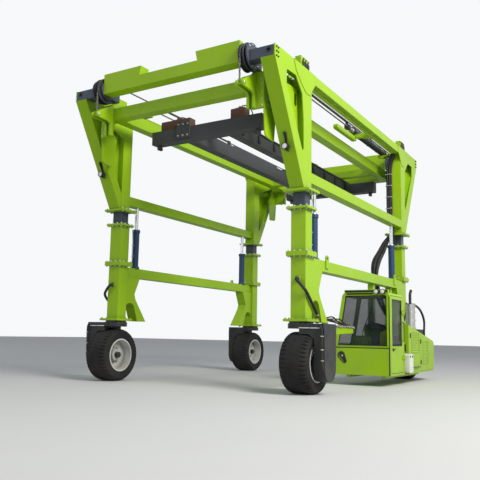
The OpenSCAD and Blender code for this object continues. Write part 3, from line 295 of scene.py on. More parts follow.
@dataclass(frozen=True)
class Finish:
    """One surface finish with its wear."""

    name: str
    slot: str
    surface: Surface
    colour: Colour
    rough: float = 0.4
    # Strength of streaks, of dust with painted shade in corners, and of road dirt low down.
    grime_and_shade: float = 0.3
    wear: float = 0.3
    grain: float = 60.0
    relief: float = 0.0004

    def shade(self, factor: float) -> Colour:
        """The colour, lighter or darker."""
        return tuple(min(1.0, c * factor) for c in self.colour)

    def material(self) -> bpy.types.Material:
        """The finish's material, made on first use.

        Returns:
            The material.
        """
        made = bpy.data.materials.get(self.name)
        if made is not None:
            return made
        graph = Graph(self.name)
        builders = {Surface.PAINT: self._paint, Surface.METAL: self._metal,
                    Surface.RUBBER: self._rubber, Surface.PLASTIC: self._rubber,
                    Surface.GLASS: self._glass, Surface.FABRIC: self._fabric,
                    Surface.LENS: self._lens, Surface.PERFORATED: self._perforated}
        builders[self.surface](graph)
        return graph.material

    def _soiled_and_shaded(self, graph: Graph, clean: bpy.types.NodeSocket) -> bpy.types.NodeSocket:
        """Dust and painted shade in corners, and road dirt low down.

        Args:
            graph: the material's nodes.
            clean: colour of the clean surface.

        Returns:
            The soiled colour with its painted shade.
        """
        patches = graph.ramp(graph.noise(2.6, 6.0), 0.35, 0.7)
        # Corners found by ambient occlusion darken towards the dust colour: painted shade, mixed
        # with dust in noisy patches.
        deep = graph.sum("MULTIPLY", graph.corner(0.10), graph.ramp(patches, 0.0, 1.0, 0.35, 1.0))
        shade_and_dust = graph.mix(graph.sum("MULTIPLY", deep, self.grime_and_shade * 1.5), clean, SHADE_AND_DUST)
        low = graph.sum("MULTIPLY", graph.height(0.15, 1.5), patches)
        return graph.mix(graph.sum("MULTIPLY", low, self.grime_and_shade), shade_and_dust, ROAD_DIRT)

    def _paint(self, graph: Graph) -> None:
        """Sprayed machine paint with chips along its edges.

        Args:
            graph: the material's nodes.
        """
        tone = graph.mix(graph.noise(0.9, 3.0), self.shade(0.90), self.shade(1.08))
        streaks = graph.ramp(graph.noise(7.0, 5.0, (1, 1, 0.12)), 0.58, 0.78)
        tone = graph.mix(graph.sum("MULTIPLY", streaks, self.grime_and_shade * 0.5), tone, self.shade(0.62))
        tone = self._soiled_and_shaded(graph, tone)
        normal, edge = graph.edge(0.006)
        chips = graph.ramp(graph.noise(26.0, 6.0), 0.56, 0.62)
        bare = graph.sum("MULTIPLY", graph.sum("MULTIPLY", edge, chips), self.wear * 2.2)
        rough = graph.ramp(graph.noise(5.0, 5.0), 0.3, 0.75, self.rough - 0.06, self.rough + 0.14)
        graph.set(Base_Color=graph.mix(bare, tone, BARE_STEEL), Roughness=rough,
                  Coat_Weight=0.05, Coat_Roughness=0.25, Specular_IOR_Level=0.28,
                  Normal=graph.bump(graph.noise(self.grain, 2.0), 0.35, self.relief, normal))

    def _metal(self, graph: Graph) -> None:
        """Turned or rolled steel with fine scratches, painted shade with dust in its corners, and
        road dirt low down.

        Args:
            graph: the material's nodes.
        """
        tone = graph.mix(graph.noise(4.0, 5.0), self.shade(0.82), self.shade(1.08))
        normal, edge = graph.edge(0.003)
        scratches = graph.noise(160.0, 3.0, (1, 1, 0.15))
        graph.set(Base_Color=self._soiled_and_shaded(graph, graph.mix(edge, tone, self.shade(1.25))),
                  Metallic=0.9,
                  Roughness=graph.ramp(scratches, 0.3, 0.7, self.rough - 0.08, self.rough + 0.12),
                  Normal=graph.bump(scratches, 0.25, self.relief, normal))

    def _rubber(self, graph: Graph) -> None:
        """Rubber or moulded plastic with a fine grain.

        Args:
            graph: the material's nodes.
        """
        tone = graph.mix(graph.noise(6.0, 6.0), self.shade(0.75), self.shade(1.35))
        normal, edge = graph.edge(0.004)
        worn = graph.mix(graph.sum("MULTIPLY", edge, self.wear), self._soiled_and_shaded(graph, tone),
                         self.shade(2.2))
        rough = graph.ramp(graph.noise(12.0), 0.3, 0.7, self.rough - 0.08, self.rough + 0.1)
        graph.set(Base_Color=worn, Specular_IOR_Level=0.3, Roughness=rough,
                  Normal=graph.bump(graph.noise(self.grain, 4.0), 0.5, self.relief, normal))

    def _glass(self, graph: Graph) -> None:
        """Tinted pane with a dusty film.

        Args:
            graph: the material's nodes.
        """
        film = graph.ramp(graph.noise(3.0, 6.0), 0.4, 0.8, 0.015, 0.06)
        graph.set(Base_Color=(*self.colour, 1.0), Roughness=film, Alpha=0.40, IOR=1.45)
        graph.shader.inputs["Specular IOR Level"].default_value = 0.35

    def _fabric(self, graph: Graph) -> None:
        """Woven cloth over foam.

        Args:
            graph: the material's nodes.
        """
        weave = graph.add("ShaderNodeTexWave", Vector=graph.where, Scale=140.0, Distortion=2.0)
        cross = graph.add("ShaderNodeTexVoronoi", Vector=graph.where, Scale=420.0)
        cloth = graph.sum("MULTIPLY", weave.outputs["Fac"], cross.outputs["Distance"])
        tone = graph.mix(graph.noise(9.0, 4.0), self.shade(0.8), self.shade(1.15))
        graph.set(Base_Color=graph.mix(cloth, tone, self.shade(0.6)), Roughness=0.88,
                  Normal=graph.bump(cloth, 0.6, 0.0008))
        graph.shader.inputs["Sheen Weight"].default_value = 0.25

    def _lens(self, graph: Graph) -> None:
        """Moulded lens with ribs.

        Args:
            graph: the material's nodes.
        """
        ribs = graph.add("ShaderNodeTexWave", Vector=graph.where, Scale=60.0).outputs["Fac"]
        graph.set(Base_Color=graph.mix(ribs, self.shade(0.8), self.colour), Roughness=0.12,
                  Normal=graph.bump(ribs, 0.4, 0.002))
        graph.shader.inputs["Coat Weight"].default_value = 0.6

    def _perforated(self, graph: Graph) -> None:
        """Steel sheet with rows of round holes.

        Args:
            graph: the material's nodes.
        """
        holes = graph.add("ShaderNodeTexVoronoi", Vector=graph.where, Scale=62.0, Randomness=0.0)
        hole = graph.ramp(holes.outputs["Distance"], 0.24, 0.30, 1.0, 0.0)
        tone = graph.mix(graph.noise(5.0, 5.0), self.shade(0.8), self.shade(1.1))
        graph.set(Base_Color=graph.mix(hole, tone, (0.015, 0.015, 0.015)),
                  Metallic=graph.ramp(hole, 0.0, 1.0, 0.7, 0.0),
                  Roughness=self.rough, Normal=graph.bump(hole, 0.8, -0.003))


LIME = Finish("lime_coat", "lime_paint", Surface.PAINT, (0.305, 0.515, 0.005), 0.38, 0.20, 0.20)
SLATE = Finish("slate_coat", "slate_paint", Surface.PAINT, (0.021, 0.023, 0.026), 0.46, 0.16, 0.25)
BEAM_GREY = Finish("beam_grey_coat", "slate_paint", Surface.PAINT,
                   (0.058, 0.060, 0.068), 0.46, 0.30, 0.3)
TUBE_BLUE = Finish("tube_blue_coat", "slate_paint", Surface.PAINT,
                   (0.040, 0.056, 0.074), 0.40, 0.18, 0.2)
PRIMER = Finish("primer_coat", "slate_paint", Surface.PAINT,
                (0.105, 0.046, 0.032), 0.55, 0.35, 0.3)
NAVY = Finish("navy_coat", "navy_paint", Surface.PAINT, (0.018, 0.052, 0.130), 0.35, 0.18, 0.2)
GREY = Finish("grey_coat", "grey_paint", Surface.PAINT, (0.060, 0.075, 0.105), 0.42, 0.25, 0.3)
PALE = Finish("pale_coat", "tank_paint", Surface.PAINT, (0.74, 0.76, 0.72), 0.38, 0.35, 0.15)
RIM = Finish("rim_coat", "rim_paint", Surface.PAINT, (0.62, 0.63, 0.62), 0.42, 0.45, 0.3)
CHROME = Finish("chromed_bar", "chromed_rod", Surface.METAL, (0.72, 0.73, 0.75), 0.16, 0.10, 0.1)
STEEL = Finish("zinc_steel", "chain_steel", Surface.METAL, (0.60, 0.60, 0.58), 0.34, 0.35, 0.1)
CHAIN = Finish("greased_steel", "chain_steel", Surface.METAL, (0.21, 0.20, 0.18), 0.42, 0.45, 0.1)
TYRE = Finish("tyre_tread", "tyre_rubber", Surface.RUBBER,
              (0.011, 0.011, 0.012), 0.82, 0.10, 0.25, 90.0, 0.0015)
HOSE = Finish("hose_cover", "hose_rubber", Surface.RUBBER,
              (0.016, 0.016, 0.018), 0.50, 0.30, 0.2, 220.0, 0.0005)
BLACK = Finish("black_moulding", "black_plastic", Surface.PLASTIC,
               (0.020, 0.020, 0.022), 0.45, 0.25, 0.3, 240.0, 0.0003)
SEAL = Finish("window_seal", "black_plastic", Surface.PLASTIC,
              (0.012, 0.012, 0.013), 0.55, 0.2, 0.2)
GLAZING = Finish("tinted_glass", "cab_glazing", Surface.GLASS, (0.010, 0.022, 0.023))
SHIELD = Finish("perforated_sheet", "heat_shield", Surface.PERFORATED, (0.55, 0.55, 0.53), 0.34)
CLOTH = Finish("seat_cloth", "seat_fabric", Surface.FABRIC, (0.40, 0.47, 0.05))
DARK_CLOTH = Finish("seat_cloth_dark", "seat_fabric", Surface.FABRIC, (0.035, 0.038, 0.042))
LENS = Finish("lamp_lens", "black_plastic", Surface.LENS, (0.85, 0.86, 0.84))

BY_SLOT = {finish.slot: finish for finish in (LIME, SLATE, NAVY, GREY, PALE, RIM, CHROME, CHAIN,
                                              TYRE, HOSE, BLACK, GLAZING, SHIELD, DARK_CLOTH)}

BY_NODE = {"spreader_frame": BEAM_GREY, "inner_tubes": TUBE_BLUE}


class Shape:
    """A mesh that grows by closed forms and ends as one piece."""

    def __init__(self) -> None:
        """Starts empty."""
        self.bm = bmesh.new()

    def _basis(self, axis: Point) -> Matrix:
        """A turn that takes +Z to axis."""
        turn = Vector((0, 0, 1)).rotation_difference(Vector(axis).normalized())
        return turn.to_matrix().to_4x4()

    def box(self, low: Point, high: Point, round_off: float = 0.0) -> Shape:
        """Adds a box between two opposite corners.

        Args:
            low: one corner.
            high: the corner opposite it.
            round_off: width of the rounding on every edge.

        Returns:
            The shape itself.
        """
        size = [abs(high[i] - low[i]) for i in range(3)]
        middle = [(high[i] + low[i]) / 2 for i in range(3)]
        place = Matrix.Translation(middle) @ Matrix.Diagonal((*size, 1.0))
        made = bmesh.ops.create_cube(self.bm, size=1.0, matrix=place)
        if round_off > 0:
            edges = list({e for v in made["verts"] for e in v.link_edges})
            bmesh.ops.bevel(self.bm, geom=edges, offset=round_off, segments=3, profile=0.5,
                            affect="EDGES")
        return self

    def plate(self, outline: Sequence[Point], across: int, span: Point) -> Shape:
        """Adds a flat plate.

        Args:
            outline: corners in the two axes that are left, in the order of their names.
            across: 0, 1 or 2, the axis of the plate's thickness.
            span: where the plate starts and ends along it.

        Returns:
            The shape itself.
        """
        rings = [[self.bm.verts.new([*p[:across], at, *p[across:]]) for p in outline]
                 for at in span]
        count = len(outline)
        self.bm.faces.new(rings[0])
        self.bm.faces.new(rings[1][::-1])
        for i in range(count):
            j = (i + 1) % count
            self.bm.faces.new((rings[0][j], rings[0][i], rings[1][i], rings[1][j]))
        return self

    def ring(self, outer: Sequence[Point], inner: Sequence[Point], across: int,
             span: Point) -> Shape:
        """Adds a flat frame between two outlines of as many corners.

        Args:
            outer: corners of its outer edge, in the two axes that are left.
            inner: corners of its inner edge.
            across: 0, 1 or 2, the axis of the frame's thickness.
            span: where the frame starts and ends along it.

        Returns:
            The shape itself.
        """
        corners = ((outer, span[0]), (inner, span[0]), (inner, span[1]), (outer, span[1]))
        return self.skin([[[*p[:across], at, *p[across:]] for p in outline]
                          for outline, at in corners])

    def skin(self, rings: Sequence[Sequence[Point]]) -> Shape:
        """Adds a closed skin over rings of points, from the last one back to the first.

        Args:
            rings: the rings, each of as many points.

        Returns:
            The shape itself.
        """
        loops = [[self.bm.verts.new(p) for p in ring] for ring in rings]
        for one, other in zip(loops, loops[1:] + loops[:1]):
            for i in range(len(one)):
                j = (i + 1) % len(one)
                self.bm.faces.new((one[i], one[j], other[j], other[i]))
        return self

    def block(self, middle: Point, half: Point, round_off: float = 0.0) -> Shape:
        """Adds a box about its middle, where half is half its size."""
        low, high = ([m + way * h for m, h in zip(middle, half)] for way in (-1, 1))
        return self.box(low, high, round_off)

    def band(self, at: Point, axis: Point, radii: Point, half: float, steps: int) -> Shape:
        """Adds a flat hoop.

        Args:
            at: its middle.
            axis: direction of its axis.
            radii: radius inside and outside.
            half: half its width.
            steps: number of steps round.

        Returns:
            The shape itself.
        """
        inner, outer = radii
        return self.spin([(inner, -half), (outer, -half), (outer, half), (inner, half)], at, axis,
                         steps)

    def rod(self, start: Point, end: Point, radius: float, sides: int = 16) -> Shape:
        """Adds a round bar.

        Args:
            start: middle of its first end.
            end: middle of its other end.
            radius: radius of the bar.
            sides: number of sides.

        Returns:
            The shape itself.
        """
        a, b = Vector(start), Vector(end)
        place = Matrix.Translation((a + b) / 2) @ self._basis(b - a)
        bmesh.ops.create_cone(self.bm, cap_ends=True, segments=sides, radius1=radius,
                              radius2=radius, depth=(b - a).length, matrix=place)
        return self

    def ball(self, at: Point, radius: float) -> Shape:
        """Adds a ball."""
        bmesh.ops.create_uvsphere(self.bm, u_segments=16, v_segments=10, radius=radius,
                                  matrix=Matrix.Translation(at))
        return self

    def tube(self, path: Sequence[Point], radius: float, sides: int = 10,
             smooth: int = 4) -> Shape:
        """Adds a round tube along a smooth path.

        Args:
            path: points that the tube runs through.
            radius: radius of the tube.
            sides: number of sides.
            smooth: steps between two points.

        Returns:
            The shape itself.
        """
        points = smooth_path(path, smooth)
        side = Vector((0.31, 0.91, 0.27)).normalized()
        rings = []
        for i, p in enumerate(points):
            ahead = (points[min(i + 1, len(points) - 1)] - points[max(i - 1, 0)]).normalized()
            u = ahead.cross(side).normalized()
            v = ahead.cross(u)
            turns = [TURN * k / sides for k in range(sides)]
            rings.append([self.bm.verts.new(p + radius * (u * math.cos(a) + v * math.sin(a)))
                          for a in turns])
        for a, b in zip(rings, rings[1:]):
            for k in range(sides):
                n = (k + 1) % sides
                self.bm.faces.new((a[k], a[n], b[n], b[k]))
        self.bm.faces.new(rings[0][::-1])
        self.bm.faces.new(rings[-1])
        return self

    def spin(self, profile: Sequence[Point], at: Point, axis: Point, steps: int = 48) -> Shape:
        """Adds a closed ring from a profile.

        Args:
            profile: corners as (radius, distance along the axis).
            at: where the axis starts.
            axis: direction of the axis.
            steps: number of steps round.

        Returns:
            The shape itself.
        """
        place = Matrix.Translation(at) @ self._basis(axis)
        rings = []
        for k in range(steps):
            c, s = math.cos(TURN * k / steps), math.sin(TURN * k / steps)
            rings.append([place @ Vector((r * c, r * s, h)) for r, h in profile])
        return self.skin(rings)

    def bolt(self, at: Point, axis: Point, size: float, washer: bool = True) -> Shape:
        """Adds a hexagon head, on a washer if asked.

        Args:
            at: point on the surface.
            axis: direction away from it.
            size: radius of the head.
            washer: whether a washer lies under it.

        Returns:
            The shape itself.
        """
        base, way = Vector(at), Vector(axis).normalized()
        if washer:
            self.rod(base, base + way * size * 0.25, size * 1.35, 16)
            base = base + way * size * 0.25
        self.rod(base, base + way * size * 0.75, size, 6)
        self.rod(base + way * size * 0.75, base + way * size * 1.35, size * 0.5, 8)
        return self

    def make(self, name: str, finish: Finish, body: str | None,
             round_off: float = 0.0) -> bpy.types.Object:
        """Turns the shape into a piece.

        Args:
            name: the piece's name.
            finish: its finish.
            body: the CAD body that it rides on, or None where it is not attached here.
            round_off: width of a bevel modifier on its sharp edges.

        Returns:
            The piece.
        """
        bmesh.ops.recalc_face_normals(self.bm, faces=self.bm.faces)
        mesh = bpy.data.meshes.new(name)
        self.bm.to_mesh(mesh)
        self.bm.free()
        mesh.shade_smooth()
        mesh.set_sharp_from_angle(angle=SHARP_EDGE)
        piece = bpy.data.objects.new(name, mesh)
        bpy.context.scene.collection.objects.link(piece)
        piece.data.materials.append(finish.material())
        if round_off > 0:
            bevel = piece.modifiers.new("round", "BEVEL")
            bevel.width = round_off
            bevel.segments = 2
            bevel.limit_method = "ANGLE"
            bevel.angle_limit = BEVEL_EDGE
            bevel.harden_normals = True
        if body is not None:
            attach(piece, body)
        return piece


def smooth_path(path: Sequence[Point], steps: int) -> list[Vector]:
    """Points on one smooth curve through a route.

    Args:
        path: the route's own points.
        steps: steps between two of them.

    Returns:
        The points of the curve.
    """
    p = [Vector(q) for q in path]
    result = []
    for i in range(len(p) - 1):
        a, b, c, d = p[max(i - 1, 0)], p[i], p[i + 1], p[min(i + 2, len(p) - 1)]
        for k in range(steps):
            t = k / steps
            result.append(0.5 * (2 * b + (c - a) * t + (2 * a - 5 * b + 4 * c - d) * t ** 2
                                 + (3 * b - a - 3 * c + d) * t ** 3))
    return result + [p[-1]]


@dataclass(frozen=True)
class Sizes:
    """Main places of the machine, repeated from the part's source."""

    post_x: float = 2.63
    post_y: float = 2.03
    half_w: float = 2.165
    flange_z: float = 1.165
    splice_z: float = 2.25
    sleeve_top: float = 3.05
    upper_flange: float = 3.345
    flange_t: float = 0.04
    frame_top: float = 5.5
    top_beam_z: float = 5.335
    shaft_x: float = 3.735
    shaft_z: float = 5.44
    sheave_y: float = 1.57
    chain_r: float = 0.212
    drop_x: float = 3.947
    head_z: float = 4.93
    haul_z: float = 5.652
    hoist_z: float = 5.542
    idler_x: float = 2.3
    carriage_x: float = -0.58
    wheel_z: float = 0.5
    wheel_out: float = 0.07
    tyre_w: float = 0.5
    cab_front: float = 0.285
    cab_rear: float = -0.6
    cab_in: float = 1.795
    cab_out: float = 2.765
    cab_z: float = 0.205
    cab_top: float = 1.8
    hood_front: float = -0.905
    lane_gap: float = 0.036
    leg_top: float = 3.895
    leg_slope: float = 0.555844
    leg_top_z: float = 5.31
    fork_top: float = 1.13
    fork_half: float = 0.252
    lift_x: float = 2.14
    lamp_z: float = 4.0
    cab_foot: float = 1.63
    cab_corner: float = 0.09
    sill_z: float = 0.765
    screen_z: float = 0.745
    pillar: float = 0.06
    door_x: tuple[float, float] = (-0.53, 0.215)
    door_z: tuple[float, float] = (0.255, 1.73)
    fairing: float = 1.95
    hood_top: float = 1.2
    hood_tail: float = 0.86
    louvres: tuple[tuple[float, float, float, int], ...] = (
        (0.215, 0.52, 0.64, 6), (1.065, 0.36, 0.39, 7))
    seat_x: float = -0.51
    drive_y: float = 2.405
    stack_x: float = -1.465
    stack_y: float = 2.645
    head_x: float = 3.56
    corner_y: float = 1.79
    plate_x: float = 2.7065
    lock_x: float = 2.5715
    lock_boxes: tuple[tuple[float, float], ...] = ((-1.04, -0.35), (0.58, 0.88))
    box_top: float = 5.07

    def leg_x(self, z: float) -> float:
        """Place of a leaning leg's outer face at a height."""
        return self.leg_top - (self.leg_top_z - z) * self.leg_slope

    def hood_z(self, x: float) -> float:
        """Height of the engine hood's top."""
        fall = (self.hood_top - self.hood_tail) / self.fairing
        return self.hood_top - fall * (self.hood_front - x)


S = Sizes()
# One half of a tyre: radius, distance in from its side, share of a groove's depth.
TYRE_PROFILE = ((0.315, 0.02, 0), (0.335, 0.012, 0), (0.40, 0.002, 0), (0.44, 0, 0),
                (0.468, 0.018, 0.4), (0.488, 0.045, 1), (0.497, 0.07, 1), (0.5, 0.10, 0.85),
                (0.5, 0.13, 0), (0.5, 0.22, 0))
# The tray's sleeved hoses, as (x, z) from the front corner to the cab.
TRAY_RISES = ((1.965, 1.2), (1.9, 1.2), (1.84, 1.195), (1.76, 1.118), (1.7, 1.104),
              (1.45, 1.108), (1.2, 1.106), (0.95, 1.109), (0.7, 1.112), (0.57, 1.108),
              (0.545, 1.09), (0.54, 1.06))
# The tray's loose hoses, each by its highest point as (z, x).
TRAY_CRESTS = ((1.235, 1.55), (1.185, 1.25), (1.285, 1.38), (1.215, 1.10), (1.255, 0.98))
# The hoist cylinders' pipes, from a port on the left as (x, y, z).
FRONT_PIPE = ((0, 0, -0.10), (0, 0, -0.125), (-0.03, 0.03, -0.14), (-0.1, 0.1, -0.145),
              (-0.22, 0.22, -0.15), (-0.30, 0.36, -0.15), (-0.32, 0.42, -0.15))
REAR_PIPE = ((0, 0, -0.10), (0, 0, -0.125), (0.03, 0.03, -0.14), (0.12, 0.14, -0.15),
             (0.2, 0.3, -0.15), (0.22, 0.42, -0.15))


@dataclass
class Corner:
    """One corner of the machine. Places are given for the front left one and mirrored to it."""

    end: End
    side: Side

    @property
    def name(self) -> str:
        """The corner's name."""
        return f"{self.end.name}_{self.side.name}".lower()

    def at(self, x: float, y: float, z: float) -> Point:
        """A place, mirrored to this corner."""
        return (self.end.value * x, self.side.value * y, z)

    def path(self, route: Sequence[Point]) -> list[Point]:
        """Several places, mirrored to this corner."""
        return [self.at(*place) for place in route]

    def along(self) -> Point:
        """The direction out of this end of the machine."""
        return (self.end.value, 0, 0)

    def across(self) -> Point:
        """The direction out of this side of the machine."""
        return (0, self.side.value, 0)


def polar(count: int, radius: float) -> list[tuple[float, float]]:
    """Places round a circle, the first one half a step on."""
    turns = [TURN * (k + 0.5) / count for k in range(count)]
    return [(radius * math.cos(a), radius * math.sin(a)) for a in turns]


@dataclass
class Wheel(Corner):
    """A tyre with grooved shoulders and the bolted middle of its rim."""

    grooves: int = 44
    groove_depth: float = 0.022
    groove_steps: int = 6
    nuts: int = 10
    nut_ring: float = 0.155
    nut_size: float = 0.017
    disc_in: float = 0.0415

    def build(self) -> None:
        """Builds the tyre and the wheel nuts."""
        body = f"{self.name}_wheel"
        centre = self.at(S.post_x, S.post_y + S.wheel_out, S.wheel_z)
        tyre = self._tyre(centre).make(f"{self.name}_tread", TYRE, body)
        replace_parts(tyre, f"{self.name}_tyre")
        nuts, s = Shape(), self.side.value
        for ahead, up in polar(self.nuts, self.nut_ring):
            nuts.bolt((centre[0] + ahead, centre[1] - s * self.disc_in, centre[2] + up),
                      (0, -s, 0), self.nut_size)
        nuts.make(f"{self.name}_wheel_nuts", STEEL, body)

    def _tyre(self, centre: Point) -> Shape:
        """The tyre, step by step round, with grooves across its shoulders.

        Args:
            centre: middle of the wheel.

        Returns:
            The tyre's shape.
        """
        half = [(r, S.tyre_w / 2 - inward, groove) for r, inward, groove in TYRE_PROFILE]
        profile = [(r, -w, g) for r, w, g in half] + [(r, w, g) for r, w, g in reversed(half)]
        place = Matrix.Translation(centre) @ Matrix.Rotation(-math.pi / 2, 4, "X")
        steps, stagger = self.grooves * self.groove_steps, 0.5 * TURN / self.grooves
        rings = []
        for k in range(steps):
            ring, cut = [], self.groove_depth * (k % self.groove_steps < 2)
            for r, w, groove in profile:
                turn = TURN * k / steps + stagger * (w > 0)
                deep = r - cut * groove
                ring.append(place @ Vector((deep * math.cos(turn), deep * math.sin(turn), w)))
            rings.append(ring)
        return Shape().skin(rings)


@dataclass
class Flanges(Corner):
    """Bolts of the flanges on one corner's post."""

    size: float = 0.016
    base_rows: Point = (0.195, 0.195)
    sleeve_rows: Point = (0.157, 0.170)
    upper_x: Point = (-0.18, -0.06, 0.06, 0.18)
    upper_y: Point = (-0.205, 0.205)
    notch: float = -0.1

    def build(self) -> None:
        """Builds the bolts that ride on the side frame and those on the upper frame."""
        lower = Shape()
        self._ring(lower, S.flange_z + S.flange_t, self.base_rows, 1)
        lower.make(f"{self.name}_base_bolts", LIME, self.side.frame)
        splice = Shape()
        for z, way in ((S.splice_z + 2 * S.flange_t, 1), (S.sleeve_top + S.flange_t, 1),
                       (S.splice_z, -1), (S.sleeve_top, -1)):
            self._ring(splice, z, self.sleeve_rows, way)
        splice.make(f"{self.name}_splice_bolts", STEEL, self.side.frame)
        upper = Shape()
        for dx in self.upper_x:
            for dy in self.upper_y:
                for z, way in ((S.upper_flange + S.flange_t, 1), (S.upper_flange, -1)):
                    upper.bolt(self.at(S.post_x + dx, S.post_y + dy, z), (0, 0, way), self.size)
        upper.make(f"{self.name}_upper_bolts", STEEL, "upper")

    def _ring(self, shape: Shape, z: float, half: Point, way: int) -> None:
        """Adds bolts along the four sides of a flange.

        Args:
            shape: the shape that grows.
            z: height of the flange's face.
            half: distance of the rows from the post's middle, along and across the machine.
            way: 1 for heads on top, -1 for nuts below.
        """
        places = [(k * half[0], row * half[1]) for k in (-1, -0.33, 0.33, 1) for row in (-1, 1)]
        places += [(row * half[0], k * half[1]) for k in (-0.33, 0.33) for row in (-1, 1)]
        for dx, dy in places:
            if way > 0 or dx > self.notch or z > S.splice_z:
                shape.bolt(self.at(S.post_x + dx, S.post_y + dy, z), (0, 0, way), self.size)


@dataclass
class ForkTrim(Corner):
    """Slewing ring bolts, and pale strips on a fork's front that paint a highlight along its top
    plate.
    """

    bolts: int = 16
    bolt_ring: float = 0.211
    size: float = 0.007
    strips: tuple[Point, ...] = ((0.079, 0.26), (0.27, 0.448))
    strip_low: float = 0.078
    strip_high: float = 0.062

    def build(self) -> None:
        """Builds both pieces on the steering body."""
        ring = Shape()
        x, y, top = self.at(S.post_x, S.post_y, S.fork_top)
        for ahead, over in polar(self.bolts, self.bolt_ring):
            ring.bolt((x + ahead, y + over, top), UP, self.size, False)
        ring.make(f"{self.name}_ring_bolts", STEEL, f"{self.name}_steer")
        # The pale strips paint a highlight along the front of the fork's top plate.
        strip, front = Shape(), S.post_x + S.fork_half
        for low, high in self.strips:
            strip.box(self.at(front - 0.001, S.post_y + low, top - self.strip_low),
                      self.at(front + 0.006, S.post_y + high, top - self.strip_high), 0.002)
        strip.make(f"{self.name}_wear_strip", PALE, f"{self.name}_steer")


@dataclass
class LegTop(Corner):
    """Bolts and bush where a leaning leg carries the grey arm."""

    bolts_in: Point = (0.11, 0.05)
    bolts_down: Point = (0.19, 0.115, 0.04)
    size: float = 0.013

    def build(self) -> None:
        """Builds the pieces on the upper frame."""
        bolts = Shape()
        for inward in self.bolts_in:
            for down in self.bolts_down:
                bolts.bolt(self.at(S.leg_top - inward, S.half_w, S.frame_top - down),
                           self.across(), self.size)
        bolts.make(f"{self.name}_plate_bolts", BLACK, "upper")
        bush = Shape().spin([(0.024, -0.06), (0.0315, -0.06), (0.0315, 0.001), (0.046, 0.001),
                             (0.046, 0.008), (0.024, 0.008)],
                            self.at(S.leg_top - 0.005, S.half_w - 0.115, S.shaft_z - 0.02),
                            self.along(), 32)
        bush.make(f"{self.name}_arm_bush", BLACK, "upper")


@dataclass
class Sheave(Corner):
    """Bearing bolts and rim rings of one chain sheave."""

    hub_out: float = 0.116
    bolts: int = 12
    bolt_ring: float = 0.19
    size: float = 0.013
    rim: Point = (0.224, 0.236)
    rim_out: float = 0.046

    def build(self) -> None:
        """Builds the bolts on the upper frame and the rings on the turning shaft."""
        fixed, turning, s = Shape(), Shape(), self.side.value
        for over, up in polar(self.bolts, self.bolt_ring):
            if up > 0.06 or over < -0.06 or up < -0.14:
                fixed.bolt(self.at(S.shaft_x + over, S.sheave_y + self.hub_out, S.shaft_z + up),
                           self.across(), self.size)
        fixed.make(f"{self.name}_bearing_bolts", STEEL, "upper")
        inner, outer = self.rim
        for way in (-1, 1):
            turning.spin([(inner, -0.001), (outer, -0.001), (outer, 0.005), (inner, 0.005)],
                         self.at(S.shaft_x, S.sheave_y + way * self.rim_out, S.shaft_z),
                         (0, s * way, 0), 64)
        turning.make(f"{self.name}_sheave_rings", GREY, f"{self.end.name.lower()}_shaft")


